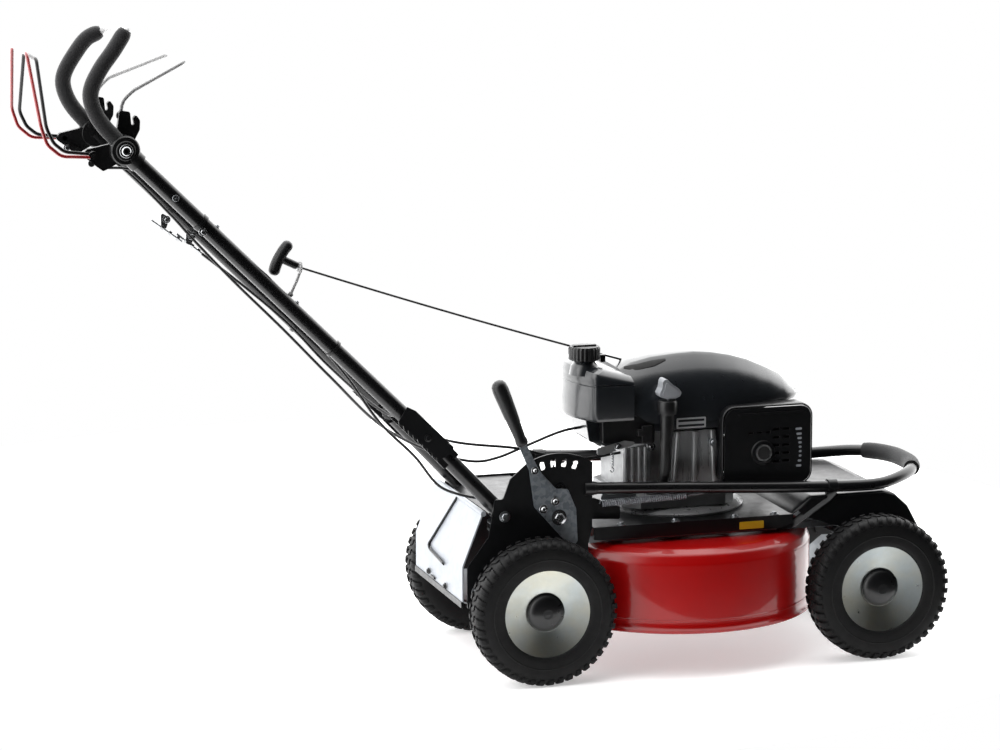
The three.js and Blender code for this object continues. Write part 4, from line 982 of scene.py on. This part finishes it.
def build_handle():
    for side, s in (("right", -1), ("left", 1)):
        y = s * TUBE_Y
        a, b = toward(FOOT, FOLD, -8), toward(FOLD, FOOT, 22)
        lower = sweep([(a.x, y, a.y), (b.x, y, b.y)], ring(14, 32))
        foot_pad = rod((FOOT.x, s * 122, FOOT.y), (FOOT.x, s * 148, FOOT.y), 12, 24)
        place(f"lower_tube_{side}", [lower, foot_pad], GLOSS, stands_for=[f"lower_handle_{side}"])
        place(f"lower_ear_{side}", tongue(FOLD, FOOT, 64, 36, *mirrored(s, 133, 138)), BLACK, bevel=0.6)
        bolt = [rod((FOLD.x, s * 109, FOLD.y), (FOLD.x, s * 139, FOLD.y), 5, 20)]
        bolt += hexbolt(FOLD.x, s * 143, FOLD.y, (0, s, 0), 5, 3, 7)
        place(f"fold_bolt_{side}", bolt, BLACK)
        place(f"fold_plate_{side}", toothed_plate(*mirrored(s, 140.6, 143.4)), BLACK, bevel=0.5)
        place(f"foot_bolt_{side}", hexbolt(-368, s * 151.5, 291, (0, s, 0), 7, 5, 10), ZINC)
        knob = lathe([(0, 0), (12, 0), (15, 3), (15, 9), (11, 13), (0, 14)], (FOLD.x, s * 109, FOLD.y),
                     (0, -s, 0), 12)
        place(f"fold_knob_{side}", knob, PLASTIC)

        c, d = toward(FOLD, TOP, 20), toward(TOP, FOLD, 22)
        place(f"upper_tube_{side}", sweep([(c.x, y, c.y), (d.x, y, d.y)], ring(14, 32)), GLOSS,
              "upper_handle", stands_for=[f"upper_handle_{side}"])
        place(f"upper_ear_{side}", tongue(FOLD, TOP, 74, 38, *mirrored(s, 116, 121),
                                          holes=[circle(FOLD.x, FOLD.y, 5.4)], teeth=8), BLACK,
              "upper_handle", bevel=0.6)
        screws = []
        q = toward(TOP, FOLD, 118)
        screws += socket_bolt(q.x, s * 139.4, q.y, (0, s, 0), 2.4, 1.8)
        for dist in (208, 402):
            q = toward(TOP, FOLD, dist)
            screws += hexbolt(q.x + 9.4, s * TUBE_Y, q.y + 9.6, (0.7, 0, 0.71), 3, 2.6, 4.4)
        place(f"tube_screws_{side}", screws, ZINC, "upper_handle")
        build_casting(side, s)
    # Cable stop brackets under the far tube, with the adjusters in front of the sheaths.
    parts = []
    for x, z, y in ((-905, 802, 112), (-862, 772, 106)):
        parts.append(plate(rounded([(x - 9, z + 12), (x + 7, z + 2), (x, z - 18), (x - 9, z - 14)], 3, 4),
                           y - 1.5, y + 1.5))
        parts += hexbolt(x + 1, y - 1.5, z - 1, NEAR, 4.5, 4, 7)
    for (x0, z0), (x1, z1) in (((-931, 801), (-877, 761)), ((-886, 775), (-842, 738))):
        parts.append(rod((x0, 112, z0), (x1, 110, z1), 2, 10))
        for t in (0.35, 0.6, 0.85):
            parts.append(lathe([(0, -3), (4.4, -3), (4.4, 3), (0, 3)],
                               (x0 + (x1 - x0) * t, 111, z0 + (z1 - z0) * t), (0.8, 0, -0.6), 6))
    clamp = lathe([(14.1, -4), (15.6, -4), (15.6, 4), (14.1, 4)], (-897, -126, 829), (0.71, 0, -0.705), 32)
    parts += hexbolt(-897, -141, 815, NEAR, 4.5, 4, 7)
    place("tube_clamp", clamp, BLACK, "upper_handle")
    place("cable_stops", parts, CHROME, "upper_handle", bevel=0.3)
    q = toward(TOP, FOLD, 505)
    tie = [lathe([(14.2, -2.4), (16, -2.4), (16, 2.4), (14.2, 2.4)], (q.x, s * TUBE_Y, q.y),
                 (0.71, 0, -0.705), 32) for s in (-1, 1)]
    place("cable_ties", tie, PLASTIC, "upper_handle")


def build_casting(side, s):
    tx, tz = TOP
    hub = lathe([(0, -15), (23, -15), (25, -12.5), (25, 12.5), (23, 15), (17, 15.4), (15.5, 17),
                 (12.5, 17.5), (0, 17.5)], (tx, s * TUBE_Y, tz), (0, s, 0), 48)
    socket = toward(TOP, FOLD, 34)
    sleeve = sweep([(tx, s * TUBE_Y, tz), (socket.x, s * TUBE_Y, socket.y)], ring(16.8, 28))
    wing = plate(rounded([(tx - 4, tz + 14), (-1046, 968), (-1089, 959), (-1096, 949), (-1084, 940),
                          (-1072, 932), (-1057, 923), (tx - 4, tz - 20)], [2, 8, 6, 5, 8, 6, 10, 2], 5),
                 *mirrored(s, 112, 121))
    hook = plate(rounded([(-1084, 940), (-1072, 930), (-1060, 921), (-1052, 924), (-1052, 932),
                          (-1064, 936), (-1074, 944)], 3, 4), *mirrored(s, 108, 115))
    horn = plate(rounded([(tx - 14, tz + 10), (tx + 20, tz + 12), (-996, 988), (-995, 1004),
                          (-1002, 1014), (-1007, 1008), (-1005, 998), (-1010, 996), (-1012, 1019),
                          (-1030, 1022), (-1033, 1000)], [2, 2, 8, 8, 3, 3, 4, 4, 4, 4, 6], 4),
                 *mirrored(s, 104, 113))
    pins = [rod((BAIL[0], s * 112, BAIL[1]), (BAIL[0], s * 140, BAIL[1]), 4, 16),
            rod((FRONT[0], s * 98, FRONT[1]), (FRONT[0], s * 112, FRONT[1]), 4, 16)]
    place(f"top_casting_{side}", [hub, sleeve, wing, hook, horn, *pins], PLASTIC, "upper_handle", bevel=1.0,
          stands_for=[f"joint_casting_{side}"])
    place(f"top_bolt_{side}", socket_bolt(tx, s * 143.2, tz, (0, s, 0), 8, 4), CHROME, "upper_handle")
    small = hexbolt(-1078, s * 107.6, 934, (0, -s, 0), 4, 3, 6)
    place(f"casting_clips_{side}", small, CHROME, "upper_handle")


def build_grips():
    half = [(-1042, 126, 978), (-1058, 125, 996), (-1070, 123, 1014), (-1078, 121, 1034), (-1080, 119, 1050),
            (-1076, 117, 1066), (-1060, 114, 1094), (-1038, 110, 1122), (-1022, 105, 1143)]
    tops = {"right": (-1016, -110, 1156), "left": (-1014, 108, 1133)}
    for side, s in (("right", -1), ("left", 1)):
        arm = [(-1030, s * TUBE_Y, 962)] + [(x, s * y, z) for x, y, z in half[:-1]] + [tops[side]]
        obj = place(f"foam_grip_{side}", sweep(curve(arm, 44), ring(13.6),
                                               grow=fading(45, (0.72, 0.9, 0.98))), FOAM, "upper_handle",
                    angle=70)
        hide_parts("grip_loop")
    cross = curve([(-1024, -107, 1142), (-1012, -98, 1154), (-1010, -84, 1156), (-1010, 0, 1148),
                   (-1010, 84, 1140), (-1012, 98, 1137), (-1022, 106, 1124)], 40)
    place("grip_cross_tube", sweep(cross, ring(4.5)), PALE_WIRE, "upper_handle")


def build_rope_guide():
    turn = [(-722 + 1.2 * cos(a * 0.5), -112 + 9 * cos(a), 742 + 9 * sin(a)) for a in angles(28)]
    eye = sweep(turn, ring(2.6, 12), closed=True)
    foot = sweep(curve([(-722.5, -112.5, 733), (-727, -114, 722), (-735, -118, 708), (-741, -120, 697)],
                       16), ring(2.6, 12))
    clamp = [rod((-741, -121, 697), (-741, -108, 697), 5, 6)]
    place("guide_eye", [eye, foot, *clamp], PALE_WIRE, "upper_handle", stands_for=["rope_guide"])


def bend_loop(arm_y, route):
    half = [(p[0], p[2] if len(p) == 3 else arm_y, p[1]) for p in route]
    pts = [(x, -y, z) for x, y, z in half] + half[::-1]
    out, n = [Vector(pts[0])], len(pts)
    for i, (u, v, w) in enumerate(zip(pts, pts[1:], pts[2:])):
        out += arc_at(Vector(u), Vector(v), Vector(w), 14 if abs(i - (n - 3) / 2) < 1 else 26, 10)
    out.append(Vector(pts[-1]))
    return sweep([tuple(p) for p in out], ring(3.1, 14))


def eyelet(x, z, y, w=5):
    return lathe([(4.4, -w / 2), (7.6, -w / 2), (7.6, w / 2), (4.4, w / 2)], (x, y, z), FAR, 24)


def build_bails():
    jobs = (
        ("bail_blade", "blade_bail", BLACK, 123,
         [(-1084, 952), (-1126, 957), (-1144, 972), (-1156, 998), (-1158, 1106, 56)], BAIL),
        ("bail_drive", "drive_bail", RED_WIRE, 134,
         [(-1086, 948), (-1134, 951), (-1157, 971), (-1167, 1002), (-1176, 1117, 68)], BAIL),
        ("bail_front", "front_bail", PALE_WIRE, 102,
         [(-1026, 1016), (-1022, 1036), (-1004, 1053), (-906, 1095, 64)], FRONT),
    )
    for body, name, material, y, route, pivot in jobs:
        place(name, bend_loop(y, route), material, body, stands_for=[body])
        place(f"{name}_eyes", [eyelet(*pivot, -y), eyelet(*pivot, y)], PLASTIC, body)


# ---- Starter and cables ----

def build_starter():
    a, b = Vector((-738, -112, 786)), Vector((-769, -112, 731))
    mid = (a + b) / 2
    bow = [tuple(a), tuple(a.lerp(b, 0.25) + Vector((-3, 0, 2))), tuple(mid + Vector((-4, 0, 2.5))),
           tuple(a.lerp(b, 0.75) + Vector((-3, 0, 2))), tuple(b)]
    pts = curve(bow, 24)
    flat = [(9.6 * cos(a), 10.4 * sin(a)) for a in angles(28)]
    bar = sweep(pts, flat, grow=fading(25, (0.45, 0.8, 0.95)))
    stem = sweep(curve([(-757, -112, 759.5), (-748, -112, 755), (-738, -112, 750), (-727, -112, 744.6)], 12),
                 ring(6.8, 24), grow=[1.5, 1.35, 1.2, 1.1, 1.03, 1, 1, 1, 1, 1, 1, 1, 0.9])
    place("pull_grip", [bar, stem], PLASTIC, "starter_handle", stands_for=["starter_handle"], angle=50)
    bush = lathe([(2, -2), (5.4, -2), (5.4, 2), (2, 2)], (-726, -112, 744), (0.9, 0, -0.43), 20)
    place("pull_ferrule", bush, CHROME, "starter_handle")

    pulled = twist((-741, -112, 751), (-722, -112, 742), 12)
    obj = place("pull_cord_end", pulled, ROPE, None, stands_for=["starter_rope_pull"])
    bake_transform(obj)
    rope = twist((-721.5, -112, 741.7), (-94, -20, 528), 160)
    obj = place("pull_cord", rope, ROPE, None, stands_for=["starter_rope"])
    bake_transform(obj)


def twist(a, b, steps):
    """A laid cord with a slight sag and a braided outline."""
    a, b = Vector(a), Vector(b)
    length = (b - a).length
    pts = []
    for i in range(steps + 1):
        t = i / steps
        p = a.lerp(b, t)
        p.z -= 4 * t * (1 - t) * length * 0.006
        pts.append(tuple(p))
    grow = [1 + 0.05 * (i % 2) for i in range(steps + 1)]
    return sweep(pts, ring(1.75, 10), grow=grow)


def tube_line(x):
    return FOLD.y + (x - FOLD.x) * (TOP.y - FOLD.y) / (TOP.x - FOLD.x)


def build_cables():
    def down(y, drop):
        return [(x, y, tube_line(x) - drop) for x in (-1000, -900, -800, -700)]
    runs = {"cable_blade": [(-1060, -103, 926), *down(-106, 14), (-640, -104, 548), (-578, -100, 460),
                            (-516, -100, 397), (-472, -100, 342), (-436, -103, 325), (-392, -104, 314)],
            "cable_drive": [(-842, 110, 738), (-781, 106, 688), (-715, 104, 631), (-680, 100, 597),
                            (-620, 90, 530), (-540, 20, 456), (-451, -64, 416), (-316, -64, 392),
                            (-267, -64, 378), (-200, -62, 366), (-124, -60, 372)],
            "cable_throttle": [(-1052, 94, 924), (-1000, 97, 909), (-900, 98, 812), (-860, 98, 766),
                               (-790, 98, 690), (-700, 94, 598), (-620, 80, 512), (-545, 10, 432),
                               (-470, -40, 392), (-389, -48, 370), (-347, -48, 375), (-295, -48, 393),
                               (-220, -48, 417), (-140, -48, 421)],}
    for name, points in runs.items():
        pts = curve(points, 150)
        obj = place(f"{name}_sheath", sweep(pts, ring(2.5, 14)), SHEATH, None, stands_for=[name])
        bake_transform(obj)


# ---- All of it ----

FLOOR_DISC = 0.05, 0.75, 1.45


def add_floor():
    bm = bmesh.new()
    x, y, r = FLOOR_DISC
    bm.faces.new([bm.verts.new(Vector((x + u, y + v, 0))) for u, v in ring(r, 96)])
    obj = place("studio_floor", finish_mesh(bm, "floor"), FLOOR, None)


build_deck()
build_plates()
build_flap()
build_guard()
build_tank()
build_housing()
build_cowl()
build_exhaust()
build_engine_block()
build_drive()
build_controls()
build_oil()
build_height()
for end in ("front", "rear"):
    for side in ("left", "right"):
        build_wheel(end, side)
build_handle()
build_grips()
build_rope_guide()
build_bails()
build_starter()
build_cables()
add_floor()
